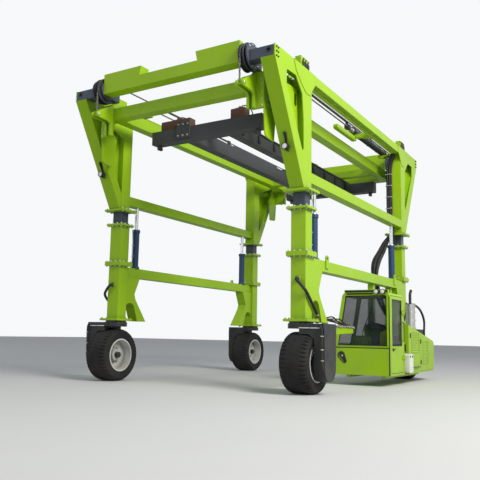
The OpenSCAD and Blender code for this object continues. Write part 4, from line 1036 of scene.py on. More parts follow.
@dataclass
class LeafChain(Corner):
    """The chain from the spreader over one sheave to the hoist rod."""

    pitch: float = 0.044
    plates: int = 4
    plate_t: float = 0.0032
    plate_step: float = 0.0036
    plate_r: float = 0.0118
    pin_r: float = 0.0052
    pin_half: float = 0.0145
    stroke: float = 1.9

    def build(self) -> None:
        """Builds the drop, the part on the upper frame and the level run to the rod's carriage,
        also on the upper frame.
        """
        drop = self._links(self._drop()).make(f"{self.name}_chain_drop", CHAIN, None)
        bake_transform(drop)
        fixed, pulled = self._arc(), self._pulled()
        held = self._links(fixed).make(f"{self.name}_chain_turn", CHAIN, "upper")
        run = self._links([fixed[-1]] + pulled).make(f"{self.name}_chain_run", CHAIN, "upper")
        f"{self.side.name.lower()}_rod_slide"
        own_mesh(run)
        for piece in (drop, held, run):
            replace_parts(piece, "hoist_chains")

    @property
    def lane(self) -> float:
        """Place of the chain across the machine."""
        return self.side.value * (S.sheave_y - self.end.value * S.lane_gap / 2)

    def _drop(self) -> list[Point]:
        """The chain down from the sheave to the spreader's pin.

        Returns:
            Points as (x, z).
        """
        count = round((S.shaft_z - S.head_z) / self.pitch)
        step = (S.shaft_z - S.head_z) / count
        return [(self.end.value * S.drop_x, S.shaft_z - i * step) for i in range(count + 1)]

    def _arc(self) -> list[Point]:
        """The chain over the sheave, and for a rear one on to its roller and round it.

        Returns:
            Points as (x, z).
        """
        e, r = self.end.value, S.chain_r
        arc = round(math.pi / 2 * r / self.pitch)
        turns = [math.pi / 2 * i / arc for i in range(arc + 1)]
        points = [(e * (S.shaft_x + r * math.cos(a)), S.shaft_z + r * math.sin(a)) for a in turns]
        if self.end is End.FRONT:
            return points
        r = (S.haul_z - S.hoist_z) / 2
        points += self._straight(-S.shaft_x, S.idler_x, S.haul_z)
        bend = round(math.pi * r / (self.pitch * 0.8))
        turns = [math.pi * i / bend for i in range(1, bend + 1)]
        return points + [(S.idler_x + r * math.sin(a), S.hoist_z + r + r * math.cos(a))
                         for a in turns]

    def _pulled(self) -> list[Point]:
        """The level run that ends at the rod's carriage.

        Returns:
            Points as (x, z).
        """
        if self.end is End.FRONT:
            return self._straight(S.shaft_x, S.carriage_x, S.haul_z)
        return self._straight(S.idler_x, S.carriage_x, S.hoist_z)

    def _straight(self, start: float, stop: float, z: float) -> list[Point]:
        """Points along a level run after its first one, as (x, z).

        Args:
            start: where the run starts.
            stop: where it ends.
            z: its height.

        Returns:
            The points.
        """
        count = max(1, round(abs(stop - start) / self.pitch))
        return [(start + (stop - start) * i / count, z) for i in range(1, count + 1)]

    def _links(self, path: Sequence[Point]) -> Shape:
        """Sets plates and pins along a path.

        Args:
            path: the pins' places as (x, z).

        Returns:
            The chain's shape.
        """
        shape, step = Shape(), self.plate_step
        for i, (x, z) in enumerate(path):
            shape.rod((x, self.lane - self.pin_half, z), (x, self.lane + self.pin_half, z),
                      self.pin_r, 8)
            if i + 1 == len(path):
                break
            gap = step if i % 2 else 0.0
            for k in range(self.plates):
                shift = gap if k < self.plates / 2 else -gap
                y = self.lane + (k - (self.plates - 1) / 2) * 2 * step + shift
                self._plate(shape, path[i], path[i + 1], y)
        return shape

    def _plate(self, shape: Shape, a: Point, b: Point, y: float) -> None:
        """Adds one waisted plate between two pins.

        Args:
            shape: the shape that grows.
            a: the first pin as (x, z).
            b: the second pin.
            y: middle of the plate's thickness.
        """
        along = Vector((b[0] - a[0], b[1] - a[1])).normalized()
        over = Vector((-along.y, along.x))
        outline = []
        for centre, start in ((b, -60), (a, 120)):
            for k in range(4):
                turn = math.radians(start + 40 * k)
                way = self.plate_r * (along * math.cos(turn) + over * math.sin(turn))
                outline.append((centre[0] + way.x, centre[1] + way.y))
        shape.plate(outline, 1, (y - self.plate_t / 2, y + self.plate_t / 2))


@dataclass
class HoistRod:
    """The rod of one hoist cylinder with the carriage that holds both chains."""

    side: Side
    rear: float = -2.97
    radius: float = 0.038
    carriage: float = 0.12

    def build(self) -> None:
        """Builds the rod and the carriage on the rod's body."""
        s, z, name = self.side.value, S.hoist_z, self.side.name.lower()
        y, body = s * S.sheave_y, f"{name}_rod"
        front, face = S.carriage_x - self.carriage, S.carriage_x
        rod = Shape().rod((self.rear, y, z), (front + 0.001, y, z), self.radius, 48)
        rod.spin([(0.037, -0.02), (0.046, -0.02), (0.046, -0.004), (0.041, 0.001), (0.037, 0.001)],
                 (front, y, z), AHEAD, 32)
        piece = rod.make(f"{body}_bar", CHROME, body)
        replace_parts(piece, f"{name}_hoist_rod")
        block = Shape().box((front, y - 0.06, z - 0.055), (face, y + 0.06, z + 0.045), 0.006)
        lane = s * (S.sheave_y - S.lane_gap / 2)
        block.box((front + 0.002, lane - 0.015, z + 0.04),
                  (face - 0.002, lane + 0.015, S.haul_z + 0.025), 0.004)
        for up in (-0.03, 0.022):
            for dy in (-0.042, 0.042):
                block.bolt((face, y + dy, z + up), AHEAD, 0.009)
        piece = block.make(f"{body}_carriage", SLATE, body)
        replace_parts(piece, f"{name}_hoist_rod")


@dataclass
class HoseRuns:
    """Hydraulic hoses, their clamps and their fittings."""

    wheel_r: float = 0.026
    bush_z: float = 1.87
    fork_r: float = 0.016
    main_r: float = 0.024
    main_ring: float = 0.046
    upright_r: float = 0.0225
    tray_r: float = 0.0125
    tray_step: float = 0.026
    fork_clips: tuple[Point, ...] = ((0.016, 0.93), (0.010, 0.72), (0.003, 0.55))
    upright_rows: tuple[Point, ...] = ((0.024, 1.835), (0.024, 1.885), (0.024, 1.935),
                                       (0.068, 1.86), (0.068, 1.91))
    clamp_z: Point = (4.0, 4.28, 4.56, 4.84)
    clip_x: Point = (1.6, 1.2, 0.8)
    beam_r: float = 0.009
    beam_x: Point = (-2.5, -1.2, 0.0, 1.2, 2.5)
    saddle_x: Point = (-2.1, -1.4, -0.7, 0.0, 0.7, 1.4, 2.1)

    def build(self) -> None:
        """Builds every hose."""
        for side in Side:
            for end in End:
                self._wheel_hose(Corner(end, side))
        self._main_bundle()
        self._upright_lines()
        self._tray_lines()
        for side in Side:
            self._beam_lines(side)

    def _wheel_hose(self, corner: Corner) -> None:
        """The hose from the bush in a post down to the fork, its clamps, and a black ring round it
        at the bush: painted shade for the dark hole it comes out of.

        Args:
            corner: where it is.
        """
        front, y, z, r = S.post_x + 0.125, S.post_y, self.bush_z, self.wheel_r
        hx, hy = S.post_x - 0.225 - r, S.half_w + r + 0.015
        route = corner.path([
            (front - 0.012, y, z), (front + 0.01, y, z), (front + 0.033, y, z),
            (front + 0.048, y, z), (front + 0.088, y + 0.015, z - 0.025),
            (front + 0.085, y + 0.09, z - 0.1),
            (front + 0.045, hy - 0.01, z - 0.21), (front - 0.135, hy, z - 0.37),
            (front - 0.315, hy, z - 0.52), (hx, hy, S.flange_z + 0.12),
            (hx, hy, S.flange_z + 0.045), (hx, hy, S.flange_z - 0.02)])
        name, body = corner.name, corner.side.frame
        hose = Shape().tube(route, r, 16, 6).make(f"{name}_wheel_hose", HOSE, body)
        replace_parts(hose, f"{corner.side.name.lower()}_hoses")
        clamps = Shape()
        for i in (2, 9):
            way = (Vector(route[i + 1]) - Vector(route[i - 1])).normalized()
            clamps.band(route[i], way, (r - 0.002, r + 0.004), 0.012, 24)
        clamps.make(f"{name}_hose_clamps", STEEL, body)
        # Black ring round the hose at the bush's face: painted shade for the dark hole the hose
        # comes out of.
        hole_shade_ring = Shape().spin([(r - 0.001, -0.002), (0.043, -0.002), (0.043, 0.004),
                                (0.034, 0.009), (r - 0.001, 0.009)],
                               corner.at(front + 0.03, y, z), corner.along(), 32)
        hole_shade_ring.make(f"{name}_hose_grommet", BLACK, body)
        self._fork_hose(corner)

    def _fork_hose(self, corner: Corner) -> None:
        """The hose down the edge of a fork to the wheel motor, in clips.

        Args:
            corner: where it is.
        """
        edge, y, top = S.post_x + S.fork_half, S.post_y + 0.495, S.fork_top
        name, body = corner.name, f"{corner.name}_steer"
        hose = Shape().tube(corner.path([
            (edge - 0.03, y - 0.05, top - 0.035), (edge + 0.006, y - 0.045, top - 0.035),
            (edge + 0.022, y - 0.02, top - 0.055), (edge + 0.018, y, top - 0.13),
            (edge + 0.013, y, 0.80), (edge + 0.005, y, 0.60), (edge + 0.001, y, 0.50),
            (edge - 0.022, y, 0.43), (edge - 0.06, y, 0.41)]), self.fork_r, 12, 5)
        hose.make(f"{name}_fork_hose", HOSE, body)
        clips = Shape()
        for out, z in self.fork_clips:
            face = edge + out + 0.0185
            clips.box(corner.at(edge - 0.02, y - 0.02, z - 0.009),
                      corner.at(face, y + 0.02, z + 0.009), 0.004)
            clips.bolt(corner.at(face, y, z), corner.along(), 0.006)
        clips.make(f"{name}_fork_clips", STEEL, body)

    def _main_bundle(self) -> None:
        """Seven hoses from the engine to the middle beam."""
        low, high, inner, y1 = 1.075, 3.52, S.half_w - 0.27, S.post_y
        x0, y0, x1 = S.hood_front - 0.745, S.half_w, -S.post_x + 0.49 - 0.17
        route = [(x0, y0, low, 0.55), (x0, y0, low + 0.08, 0.55), (x0, y0, low + 0.2, 0.7),
                 (x0 + 0.1, inner + 0.06, 1.72, 0.95), (x0 + 0.25, inner - 0.005, 2.24, 1.05),
                 (x0 + 0.15, inner - 0.01, 2.59, 1.7), (x1 + 0.41, inner - 0.02, 2.89, 1.5),
                 (x1 + 0.11, inner - 0.01, 3.15, 1.05), (x1, y1 - 0.04, 3.33, 0.8),
                 (x1, y1 - 0.03, 3.41, 0.7), (x1, y1 - 0.03, 3.46, 0.7),
                 (x1, y1 - 0.03, high, 0.7)]
        ring = [(math.cos(TURN * k / 6), math.sin(TURN * k / 6)) for k in range(6)] + [(0.0, 0.0)]
        for k, (ahead, over) in enumerate(ring):
            moved = [(x + wide * self.main_ring * ahead, y + wide * self.main_ring * over, z)
                     for x, y, z, wide in route]
            hose = Shape().tube(moved, self.main_r, 12, 6).make(f"main_hose_{k + 1}", HOSE, None)
            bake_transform(hose)
            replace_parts(hose, "left_hoses")

    def _upright_lines(self) -> None:
        """Hoses from the middle beam up the front of the rear upright, in clamps."""
        face, head = -(S.post_x - 0.1), S.top_beam_z
        lines, clamps = Shape(), Shape()
        for k, (dx, y) in enumerate(self.upright_rows):
            x, out = face + dx, face + 0.13 + 0.03 * k
            lines.tube([(out, 1.975, 3.60), (out, 1.94, 3.602), (out - 0.02, 1.925, 3.64),
                        (x + 0.02, (y + 1.9) / 2, 3.80), (x, y, 3.95), (x, y, 4.5), (x, y, 4.95),
                        (x + 0.01, y + 0.03, 5.12), (x + 0.03, y + 0.09, 5.26),
                        (x + 0.04, y + 0.14, head + 0.004)], self.upright_r, 12, 5)
        lines.make("upright_lines", HOSE, "upper")
        for z in self.clamp_z:
            clamps.box((face - 0.001, 1.806, z - 0.011), (face + 0.094, 1.961, z + 0.011), 0.008)
            clamps.bolt((face + 0.094, 1.945, z), AHEAD, 0.007)
        clamps.make("upright_clamps", STEEL, "upper")

    def _tray_lines(self) -> None:
        """Sleeved hoses along the tray between the front corner and the cab, in clips."""
        middle, r = S.half_w - 0.045, self.tray_r
        lines, wraps, clips = Shape(), Shape(), Shape()
        for k in (-1, 0, 1):
            y, up = middle + self.tray_step * k, 0.002 if k else 0.012
            route = [(x, y + 0.004 * math.sin(9 * x + k), z + up) for x, z in TRAY_RISES]
            lines.tube(route, r, 10, 5)
            for at, way in zip(route[2:-2], route[3:-1]):
                p, q = Vector(at), Vector(way)
                for share in (0.2, 0.5, 0.8):
                    wraps.band(p.lerp(q, share), q - p, (r - 0.001, r + 0.002), 0.011, 14)
        for k, (crest, peak) in enumerate(TRAY_CRESTS):
            y, low = middle - 0.05 - 0.022 * k, crest * 0.4 + 1.145 * 0.6
            lines.tube([(1.975, y + 0.01, 1.197), (1.9, y + 0.004, 1.205), (1.8, y, 1.222),
                        (peak, y + 0.02, crest), (peak - 0.28, y + 0.015 * (k % 3), low),
                        (0.66 - 0.012 * k, middle - 0.03 + 0.01 * k, 1.122),
                        (0.56, middle + 0.01, 1.09)], r, 10, 8)
        lines.make("tray_lines", HOSE, "left_side")
        wraps.make("tray_wraps", PALE, "left_side")
        for x in self.clip_x:
            for z, half in ((1.093, 0.005), (1.132, 0.004)):
                clips.block((x, middle, z), (0.012, 0.043, half), 0.002)
            for way in (-1, 1):
                clips.block((x, middle + way * 0.041, 1.112), (0.012, 0.002, 0.024), 0.001)
        clips.make("tray_clips", STEEL, "left_side")

    def _beam_lines(self, side: Side) -> None:
        """Two steel lines under the top beam, with their saddles.

        Args:
            side: side of the machine.
        """
        lines, s, top = Shape(), side.value, S.top_beam_z
        for inward in (0.06, 0.095):
            y = s * (S.half_w - inward)
            lines.tube([(x, y, top - 0.012) for x in self.beam_x], self.beam_r, 10, 2)
        for x in self.saddle_x:
            lines.block((x, s * (S.half_w - 0.0775), top - 0.012), (0.015, 0.0375, 0.012), 0.003)
        lines.make(f"{side.name.lower()}_beam_lines", LIME, "upper")


@dataclass
class LegLamps:
    """Lenses and cables of the work lamps on the leaning legs."""

    radius: float = 0.045
    rim: float = 0.056
    reach: float = 0.078
    cable_r: float = 0.008

    def build(self) -> None:
        """Builds one lamp a leg, on the upper frame."""
        for end in End:
            for side in Side:
                self._lamp(Corner(end, side))

    def _lamp(self, corner: Corner) -> None:
        """One lamp's lens, rim and cable.

        Args:
            corner: where it is.
        """
        r, y, z, s = self.radius, S.post_y, S.lamp_z, corner.side.value
        back = S.leg_x(z + 0.055) + 0.005
        at, way = corner.at(back + self.reach, y, z), corner.along()
        lens = Shape().spin([(CORE, 0.0), (r, 0.0), (r, 0.004), (0.03, 0.008), (CORE, 0.010)],
                            at, way, 40)
        lens.make(f"{corner.name}_lamp_lens", LENS, "upper")
        trim = Shape().spin([(r, -0.004), (self.rim, -0.004), (self.rim, 0.008),
                             (r + 0.002, 0.010)], at, way, 40)
        cable = [(back, y, z + 0.02), (back - 0.01, y, z + 0.05)]
        for up, off, over in ((0.12, 0.008, 0.02), (0.2, 0.008, 0.03), (0.27, -0.02, 0.03)):
            cable.append((S.leg_x(z + up) + off, y + s * over, z + up))
        trim.tube(corner.path(cable), self.cable_r, 8)
        trim.make(f"{corner.name}_lamp_trim", BLACK, "upper")


@dataclass
class TopBox(Corner):
    """Plugs and lid screws on the box at one end of a top beam."""

    plugs: int = 3
    first: float = 2.66
    step: float = 0.095
    cable_r: float = 0.0075
    screw_x: Point = (2.625, 2.76, 2.895)
    screw_size: float = 0.006
    end_x: float = 2.92

    def build(self) -> None:
        """Builds the plugs in black and the screws in steel."""
        face, top = S.half_w - 0.02, S.frame_top
        plugs, screws = Shape(), Shape()
        for k in range(self.plugs):
            x, y = self.first + self.step * k, face + 0.012
            plugs.box(self.at(x - 0.03, face, top + 0.012),
                      self.at(x + 0.03, face + 0.026, top + 0.10), 0.004)
            plugs.rod(self.at(x, y, top + 0.10), self.at(x, y, top + 0.125), 0.012, 6)
            plugs.tube(self.path([(x, y, top + 0.12), (x, y, top + 0.145),
                                  (x - 0.02, face + 0.011, top + 0.162),
                                  (x - 0.05, face + 0.004, top + 0.165),
                                  (x - 0.07, face - 0.012, top + 0.16)]), self.cable_r, 8)
        plugs.make(f"{self.name}_box_plugs", BLACK, "upper")
        for x in self.screw_x:
            screws.bolt(self.at(x, face, top + 0.175), self.across(), self.screw_size)
        for y in (face - 0.095, face - 0.02):
            for up in (0.03, 0.16):
                screws.bolt(self.at(self.end_x, y, top + up), self.along(), self.screw_size)
        screws.make(f"{self.name}_box_screws", STEEL, "upper")


@dataclass
class HoistCylinder:
    """Ports, pipes and gland bolts of one hoist cylinder."""

    side: Side
    front: float = -0.9
    rear: float = -3.05
    radius: float = 0.075
    bolts: int = 10
    bolt_ring: float = 0.064
    pipe_r: float = 0.011
    bands: Point = (-2.6, -2.0, -1.4)

    def build(self) -> None:
        """Builds the pieces on the upper frame."""
        s, z, name = self.side.value, S.hoist_z, self.side.name.lower()
        y, gland, pipes = s * S.sheave_y, Shape(), Shape()
        for over, up in polar(self.bolts, self.bolt_ring):
            gland.bolt((self.front, y + over, z + up), AHEAD, 0.0075)
        gland.spin([(0.0385, 0.0), (0.05, 0.0), (0.05, 0.008), (0.0385, 0.014)],
                   (self.front, y, z), AHEAD, 32)
        gland.make(f"{name}_gland_bolts", STEEL, "upper")
        for port, bend in ((self.front - 0.035, FRONT_PIPE), (self.rear + 0.09, REAR_PIPE)):
            pipes.rod((port, y, z - 0.07), (port, y, z - 0.108), 0.016, 6)
            pipes.tube([(port + dx, y + s * dy, z + dz) for dx, dy, dz in bend], self.pipe_r,
                       10, 5)
        for x in self.bands:
            pipes.band((x, y, z), AHEAD, (self.radius, self.radius + 0.005), 0.012, 40)
        pipes.make(f"{name}_hoist_pipes", HOSE, "upper")


@dataclass
class LiftCylinder(Corner):
    """Gland, ports and pipe of one lift cylinder."""

    radius: float = 0.072
    bolts: int = 8
    foot_z: float = 2.27
    pipe_r: float = 0.009
    clip_z: Point = (2.5, 2.72)

    def build(self) -> None:
        """Builds the pieces on the side frame."""
        top, out, mid = S.sleeve_top, S.lift_x + self.radius, S.post_y
        x, y, _ = self.at(S.lift_x, mid, top)
        gland = Shape().spin([(0.0405, 0.0), (0.06, 0.0), (0.058, 0.012), (0.0405, 0.016)],
                             (x, y, top), UP, 36)
        for ahead, over in polar(self.bolts, 1.0):
            for r, z, size in ((0.07, top, 0.007), (0.084, self.foot_z, 0.006)):
                gland.bolt((x + r * ahead, y + r * over, z), UP, size)
        gland.make(f"{self.name}_lift_gland", STEEL, self.side.frame)
        pipe = Shape().rod(self.at(out, mid, top - 0.03), self.at(out + 0.025, mid, top - 0.03),
                           0.015, 6)
        pipe.tube(self.path([(out + 0.02, mid, top - 0.03), (out + 0.034, mid, top - 0.035),
                             (out + 0.036, mid, top - 0.09), (out + 0.02, mid, top - 0.3),
                             (out + 0.02, mid, 2.5), (out + 0.03, mid, 2.32),
                             (out + 0.034, mid, 2.236)]), self.pipe_r, 10, 4)
        for z in self.clip_z:
            pipe.box(self.at(out - 0.004, mid - 0.02, z - 0.01),
                     self.at(out + 0.032, mid + 0.02, z + 0.01), 0.003)
        pipe.make(f"{self.name}_lift_pipe", STEEL, self.side.frame)


@dataclass
class Spreader:
    """Bolts, pins and cylinders on the spreader and its green head frame."""

    pin_reach: float = 0.0333 + 0.04 + 0.008
    plate_y: Point = (-0.59, -0.48, -0.37)
    plate_z: Point = (4.72, 4.94)
    corner_x: Point = (3.34, 3.40, 3.46)
    corner_z: Point = (4.68, 4.78)
    guide_z: Point = (4.66, 4.78, 4.90, 5.02, 5.14)
    corner_bolt: float = 0.012
    pads: int = 9
    pad_step: float = 0.64
    first_pad: float = -2.9

    def build(self) -> None:
        """Builds every piece on the spreader."""
        x, top = S.lock_x, S.box_top
        bolts, drives, covers = Shape(), Shape(), Shape()
        for y in self.plate_y:
            for z in self.plate_z:
                bolts.bolt((S.plate_x, y, z), AHEAD, 0.014)
        for low, high in S.lock_boxes:
            for y in (low + 0.03, high - 0.03):
                for off in (-0.065, 0.065):
                    bolts.bolt((x + off, y, top), UP, 0.009)
            mid = (low + high) / 2
            drives.box((x - 0.05, mid - 0.08, top - 0.001),
                       (x + 0.05, mid + 0.08, top + 0.028), 0.006)
            drives.rod((x, mid, top + 0.025), (x, mid, top + 0.055), 0.03, 20)
            drives.tube([(x + 0.03, mid + 0.06, top + 0.02), (x + 0.03, mid + 0.07, top + 0.05),
                         (x - 0.02, mid + 0.12, top + 0.06), (x - 0.1, mid + 0.16, top + 0.03),
                         (x - 0.16, mid + 0.18, top - 0.07), (x - 0.17, mid + 0.19, top - 0.17)],
                        0.011, 10, 5)
            covers.box((x - 0.092, low - 0.002, top - 0.178),
                       (x + 0.092, high + 0.002, top + 0.002), 0.004)
        bolts.make("spreader_bolts", STEEL, "spreader")
        drives.make("lock_drives", BLACK, "spreader")
        covers.make("lock_covers", PRIMER, "spreader")
        for end in End:
            for side in Side:
                self._corner(Corner(end, side))
        self._rails()

    def _corner(self, corner: Corner) -> None:
        """Bolts of one corner plate and guide, and the clips of its chain pin.

        Args:
            corner: where they are.
        """
        bolts, clips, s = Shape(), Shape(), corner.side.value
        for x in self.corner_x:
            for z in self.corner_z:
                bolts.bolt(corner.at(x, S.corner_y, z), corner.across(), self.corner_bolt)
        for z in self.guide_z:
            bolts.bolt(corner.at(S.head_x, S.corner_y - 0.035, z), corner.along(),
                       self.corner_bolt)
        bolts.make(f"{corner.name}_corner_bolts", STEEL, "spreader")
        for way in (-1, 1):
            x, y, z = corner.at(S.drop_x, S.sheave_y + way * self.pin_reach, S.head_z)
            clips.rod((x, y, z), (x, y + s * way * 0.006, z), 0.03, 24)
            clips.box((x - 0.012, y, z - 0.026), (x + 0.012, y + s * way * 0.009, z + 0.026),
                      0.002)
        clips.make(f"{corner.name}_pin_clips", STEEL, "spreader")

    def _rails(self) -> None:
        """Pads and hoses along the dark side rails of the spreader."""
        shape = Shape()
        for s in (1, -1):
            for k in range(self.pads):
                shape.block((self.first_pad + self.pad_step * k, s * 0.5895, 4.78),
                            (0.05, 0.0105, 0.08), 0.004)
            shape.tube([(-3.0, s * 0.59, 4.90), (-1.5, s * 0.592, 4.895), (0.0, s * 0.59, 4.90),
                        (1.2, s * 0.592, 4.895), (2.3, s * 0.59, 4.90)], 0.012, 10, 3)
        shape.make("rail_pads", BLACK, "spreader")


@dataclass
class CabShell:
    """Window seals, door seals, wiper, the painted shade in the roof recess, and lamps of the cab.
    """

    seal: float = 0.016
    corner_steps: int = 4
    bar_r: float = 0.008
    recess_shade_slats: int = 3
    band_slats: int = 4
    lamps_in: Point = (0.24, 0.11)
    lens_r: float = 0.042
    screw: float = 0.0055

    def build(self) -> None:
        """Builds the shell's pieces on the left side frame and on the door."""
        self._panes()
        self._door()
        self._recess_shade()
        self._fascia()
        self._wiper()
        self._lamps()
        self._joints()

    @staticmethod
    def pane(inset: float, low: float) -> list[Point]:
        """Outline of an end pane.

        Args:
            inset: distance inside the cab's outer faces.
            low: height of the pane's foot.

        Returns:
            Corners as (y, z).
        """
        lean = math.atan((S.cab_in - S.cab_foot) / (S.cab_top - S.sill_z))
        bend, top = S.cab_corner, []
        for y, start, stop in ((S.cab_in + bend, math.pi - lean, math.pi / 2),
                               (S.cab_out - bend, math.pi / 2, 0.0)):
            turns = [start + (stop - start) * k / CabShell.corner_steps
                     for k in range(CabShell.corner_steps + 1)]
            top += [(y + (bend - inset) * math.cos(a),
                     S.cab_top - bend + (bend - inset) * math.sin(a)) for a in turns]
        share = (low - S.sill_z) / (top[0][1] - S.sill_z)
        foot = S.cab_foot + inset + share * (top[0][0] - S.cab_foot - inset)
        return [(foot, low)] + top + [(S.cab_out - inset, low)]

    def _panes(self) -> None:
        """Rubber seals round the front, rear and inner panes."""
        shape, seal, screen = Shape(), self.seal, S.cab_front - S.pillar + 0.018
        for low, x0, x1 in ((S.sill_z, screen - 0.012, screen + 0.010),
                            (S.screen_z + 0.2, S.cab_rear + 0.006, S.cab_rear + 0.024)):
            inner = [(y, z + seal * (z == low)) for y, z in self.pane(S.pillar + seal, low)]
            shape.ring(self.pane(S.pillar - 0.001, low), inner, 0, (x0, x1))
        y, low, high = S.cab_foot + 0.015, S.sill_z, S.cab_top - S.pillar
        run = (high - low) * (S.cab_in - S.cab_foot) / (S.cab_top - low)
        back, ahead = S.cab_rear + S.pillar, S.cab_front - S.pillar
        for x0, x1 in ((back, back + seal), (ahead - seal, ahead)):
            shape.plate([(y, low), (y + 0.018, low), (y + 0.018 + run, high), (y + run, high)],
                        0, (x0, x1))
        shape.plate([(y, low), (y + 0.018, low), (y + 0.021, low + seal), (y + 0.003, low + seal)],
                    0, (back, ahead))
        shape.plate([(y + run - 0.003, high - seal), (y + 0.015 + run, high - seal),
                     (y + 0.018 + run, high), (y + run, high)], 0, (back, ahead))
        shape.make("window_seals", SEAL, "left_side")

    def _door(self) -> None:
        """The door's seals, its handle and its grab bar."""
        (back, ahead), (foot, head), out = S.door_x, S.door_z, S.cab_out
        low, high = (back + 0.06, S.sill_z), (ahead - 0.06, head - 0.06)
        Shape().ring(self._oblong(low, high, -0.001), self._oblong(low, high, self.seal), 1,
                     (out - 0.03, out - 0.010)).make("door_glass_seal", SEAL, "door")
        low, high = (back, foot), (ahead, head)
        Shape().ring(self._oblong(low, high, -0.0085), self._oblong(low, high, -0.001), 1,
                     (out - 0.036, out - 0.006)).make("door_seal", SEAL, "door")
        handle, x, z, bar = Shape(), ahead - 0.09, S.screen_z - 0.045, back + 0.035
        handle.box((x - 0.075, out, z - 0.03), (x + 0.02, out + 0.006, z + 0.03), 0.003)
        handle.tube([(x, out + 0.002, z), (x, out + 0.022, z + 0.002),
                     (x - 0.012, out + 0.03, z + 0.004), (x - 0.05, out + 0.03, z + 0.012),
                     (x - 0.085, out + 0.026, z + 0.02)], self.bar_r, 10)
        handle.rod((x - 0.05, out + 0.004, z - 0.015), (x - 0.05, out + 0.009, z - 0.015),
                   0.009, 20)
        handle.tube([(bar, out + off, up) for off, up in (
            (0.0, 0.86), (0.022, 0.87), (0.03, 0.90), (0.03, 1.2), (0.022, 1.23), (0.0, 1.24))],
            self.bar_r, 10)
        handle.make("door_handle", BLACK, "door")

    @staticmethod
    def _oblong(low: Point, high: Point, inset: float, radius: float = 0.03) -> list[Point]:
        """Corners of an oblong with rounded corners.

        Args:
            low: lowest corner.
            high: highest corner.
            inset: how far the outline lies inside it.
            radius: radius of the corners.

        Returns:
            The outline's points.
        """
        r, points = max(0.004, radius - inset), []
        left, right, foot, head = (low[0] + inset + r, high[0] - inset - r,
                                   low[1] + inset + r, high[1] - inset - r)
        for x, y, start in ((right, head, 0.0), (left, head, 0.25),
                            (left, foot, 0.5), (right, foot, 0.75)):
            turns = [TURN * (start + k / CabShell.corner_steps / 4)
                     for k in range(CabShell.corner_steps + 1)]
            points += [(x + r * math.cos(a), y + r * math.sin(a)) for a in turns]
        return points

    def _recess_shade(self) -> None:
        """A dark slatted box in the recess over the windscreen, painting the shade inside the
        recess.
        """
        front, top, y0, y1 = S.cab_front, S.cab_top, S.cab_in + S.cab_corner, S.cab_out
        # Dark box with slats in the roof recess: painted shade inside the recess.
        shape = Shape().box((front - 0.024, y0 + 0.002, top - 0.044),
                            (front - 0.012, y1 - 0.332, top - 0.011), 0.002)
        for k in range(self.recess_shade_slats):
            z = top - 0.036 + 0.009 * k
            shape.box((front - 0.013, y0 + 0.008, z - 0.002),
                      (front - 0.007, y1 - 0.338, z + 0.002), 0.001)
        shape.make("recess_shade", BLACK, "left_side")

    def _wiper(self) -> None:
        """The windscreen's wiper, parked upright at its middle."""
        x, z = S.cab_front - S.pillar + 0.03, S.sill_z
        y = (S.cab_foot + S.cab_out) / 2 - 0.06
        shape = Shape().rod((x - 0.01, y, z + 0.008), (x + 0.022, y, z + 0.008), 0.014, 16)
        shape.tube([(x + 0.014, y, z + 0.008), (x + 0.016, y + 0.05, z + 0.15),
                    (x + 0.014, y + 0.14, z + 0.42), (x + 0.010, y + 0.17, z + 0.52)], 0.006, 8)
        shape.tube([(x + 0.002, y + 0.06, z + 0.26), (x + 0.004, y + 0.17, z + 0.52),
                    (x + 0.002, y + 0.27, z + 0.76)], 0.0055, 8)
        shape.make("wiper", BLACK, "left_side")

    def _lamps(self) -> None:
        """Lenses of the roof lamps and the lamp in the front panel's recess."""
        glass, rims, front = Shape(), Shape(), S.cab_front
        r = self.lens_r
        for inward in self.lamps_in:
            at = (front + 0.085, S.cab_out - inward, S.cab_top + 0.005)
            glass.spin([(CORE, 0.0), (r, 0.0), (r, 0.003), (0.028, 0.008), (CORE, 0.010)],
                       at, AHEAD, 40)
            rims.spin([(r, -0.006), (0.0515, -0.006), (0.0515, 0.006), (r + 0.001, 0.009)],
                      at, AHEAD, 40)
        y, z = S.cab_foot + 0.155, S.cab_z + 0.37
        glass.spin([(CORE, 0.006), (0.019, 0.006), (0.019, 0.009), (0.010, 0.012),
                    (CORE, 0.013)], (front + 0.001, y + 0.012, z - 0.008), AHEAD, 32)
        rims.plate(self._leaf(y, z, 0.003), 0, (front - 0.004, front + 0.006))
        rims.ring(self._leaf(y, z, 0.022), self._leaf(y, z, 0.0), 0,
                  (front + 0.029, front + 0.034))
        glass.make("cab_lenses", LENS, "left_side")
        rims.make("cab_lamp_rims", BLACK, "left_side")

    @staticmethod
    def _leaf(y: float, z: float, grow: float) -> list[Point]:
        """Outline of the recess in the front panel.

        Args:
            y: place of the recess across the machine.
            z: its height.
            grow: how far the outline lies outside it.

        Returns:
            Corners as (y, z).
        """
        points = []
        for cy, cz, radius, start, stop in ((y, z, 0.055, 30, 226),
                                            (y + 0.065, z - 0.11, 0.025, 225, 391)):
            turns = [math.radians(a) for a in range(start, stop, 15)]
            points += [(cy + (radius + grow) * math.cos(a), cz + (radius + grow) * math.sin(a))
                       for a in turns]
        return points

    def _fascia(self) -> None:
        """The dark band over the windscreen, in its green frame on the roof's front edge."""
        low, high, x = S.cab_top - 0.001, S.cab_top + 0.052, S.cab_front
        y0, y1 = S.cab_in + 0.05, S.cab_out - 0.03
        band = Shape().box((x - 0.075, y0 + 0.012, low), (x - 0.012, y1 - 0.012, high - 0.01),
                           0.003)
        for k in range(self.band_slats):
            z = low + 0.006 + 0.010 * k
            band.box((x - 0.014, y0 + 0.016, z), (x - 0.007, y1 - 0.016, z + 0.005), 0.001)
        band.make("roof_band", BLACK, "left_side")
        edge = Shape().box((x - 0.085, y0, high - 0.012), (x - 0.002, y1, high), 0.003)
        for y in (y0, y1 - 0.012):
            edge.box((x - 0.085, y, low), (x - 0.002, y + 0.012, high), 0.003)
        edge.make("roof_band_frame", LIME, "left_side")

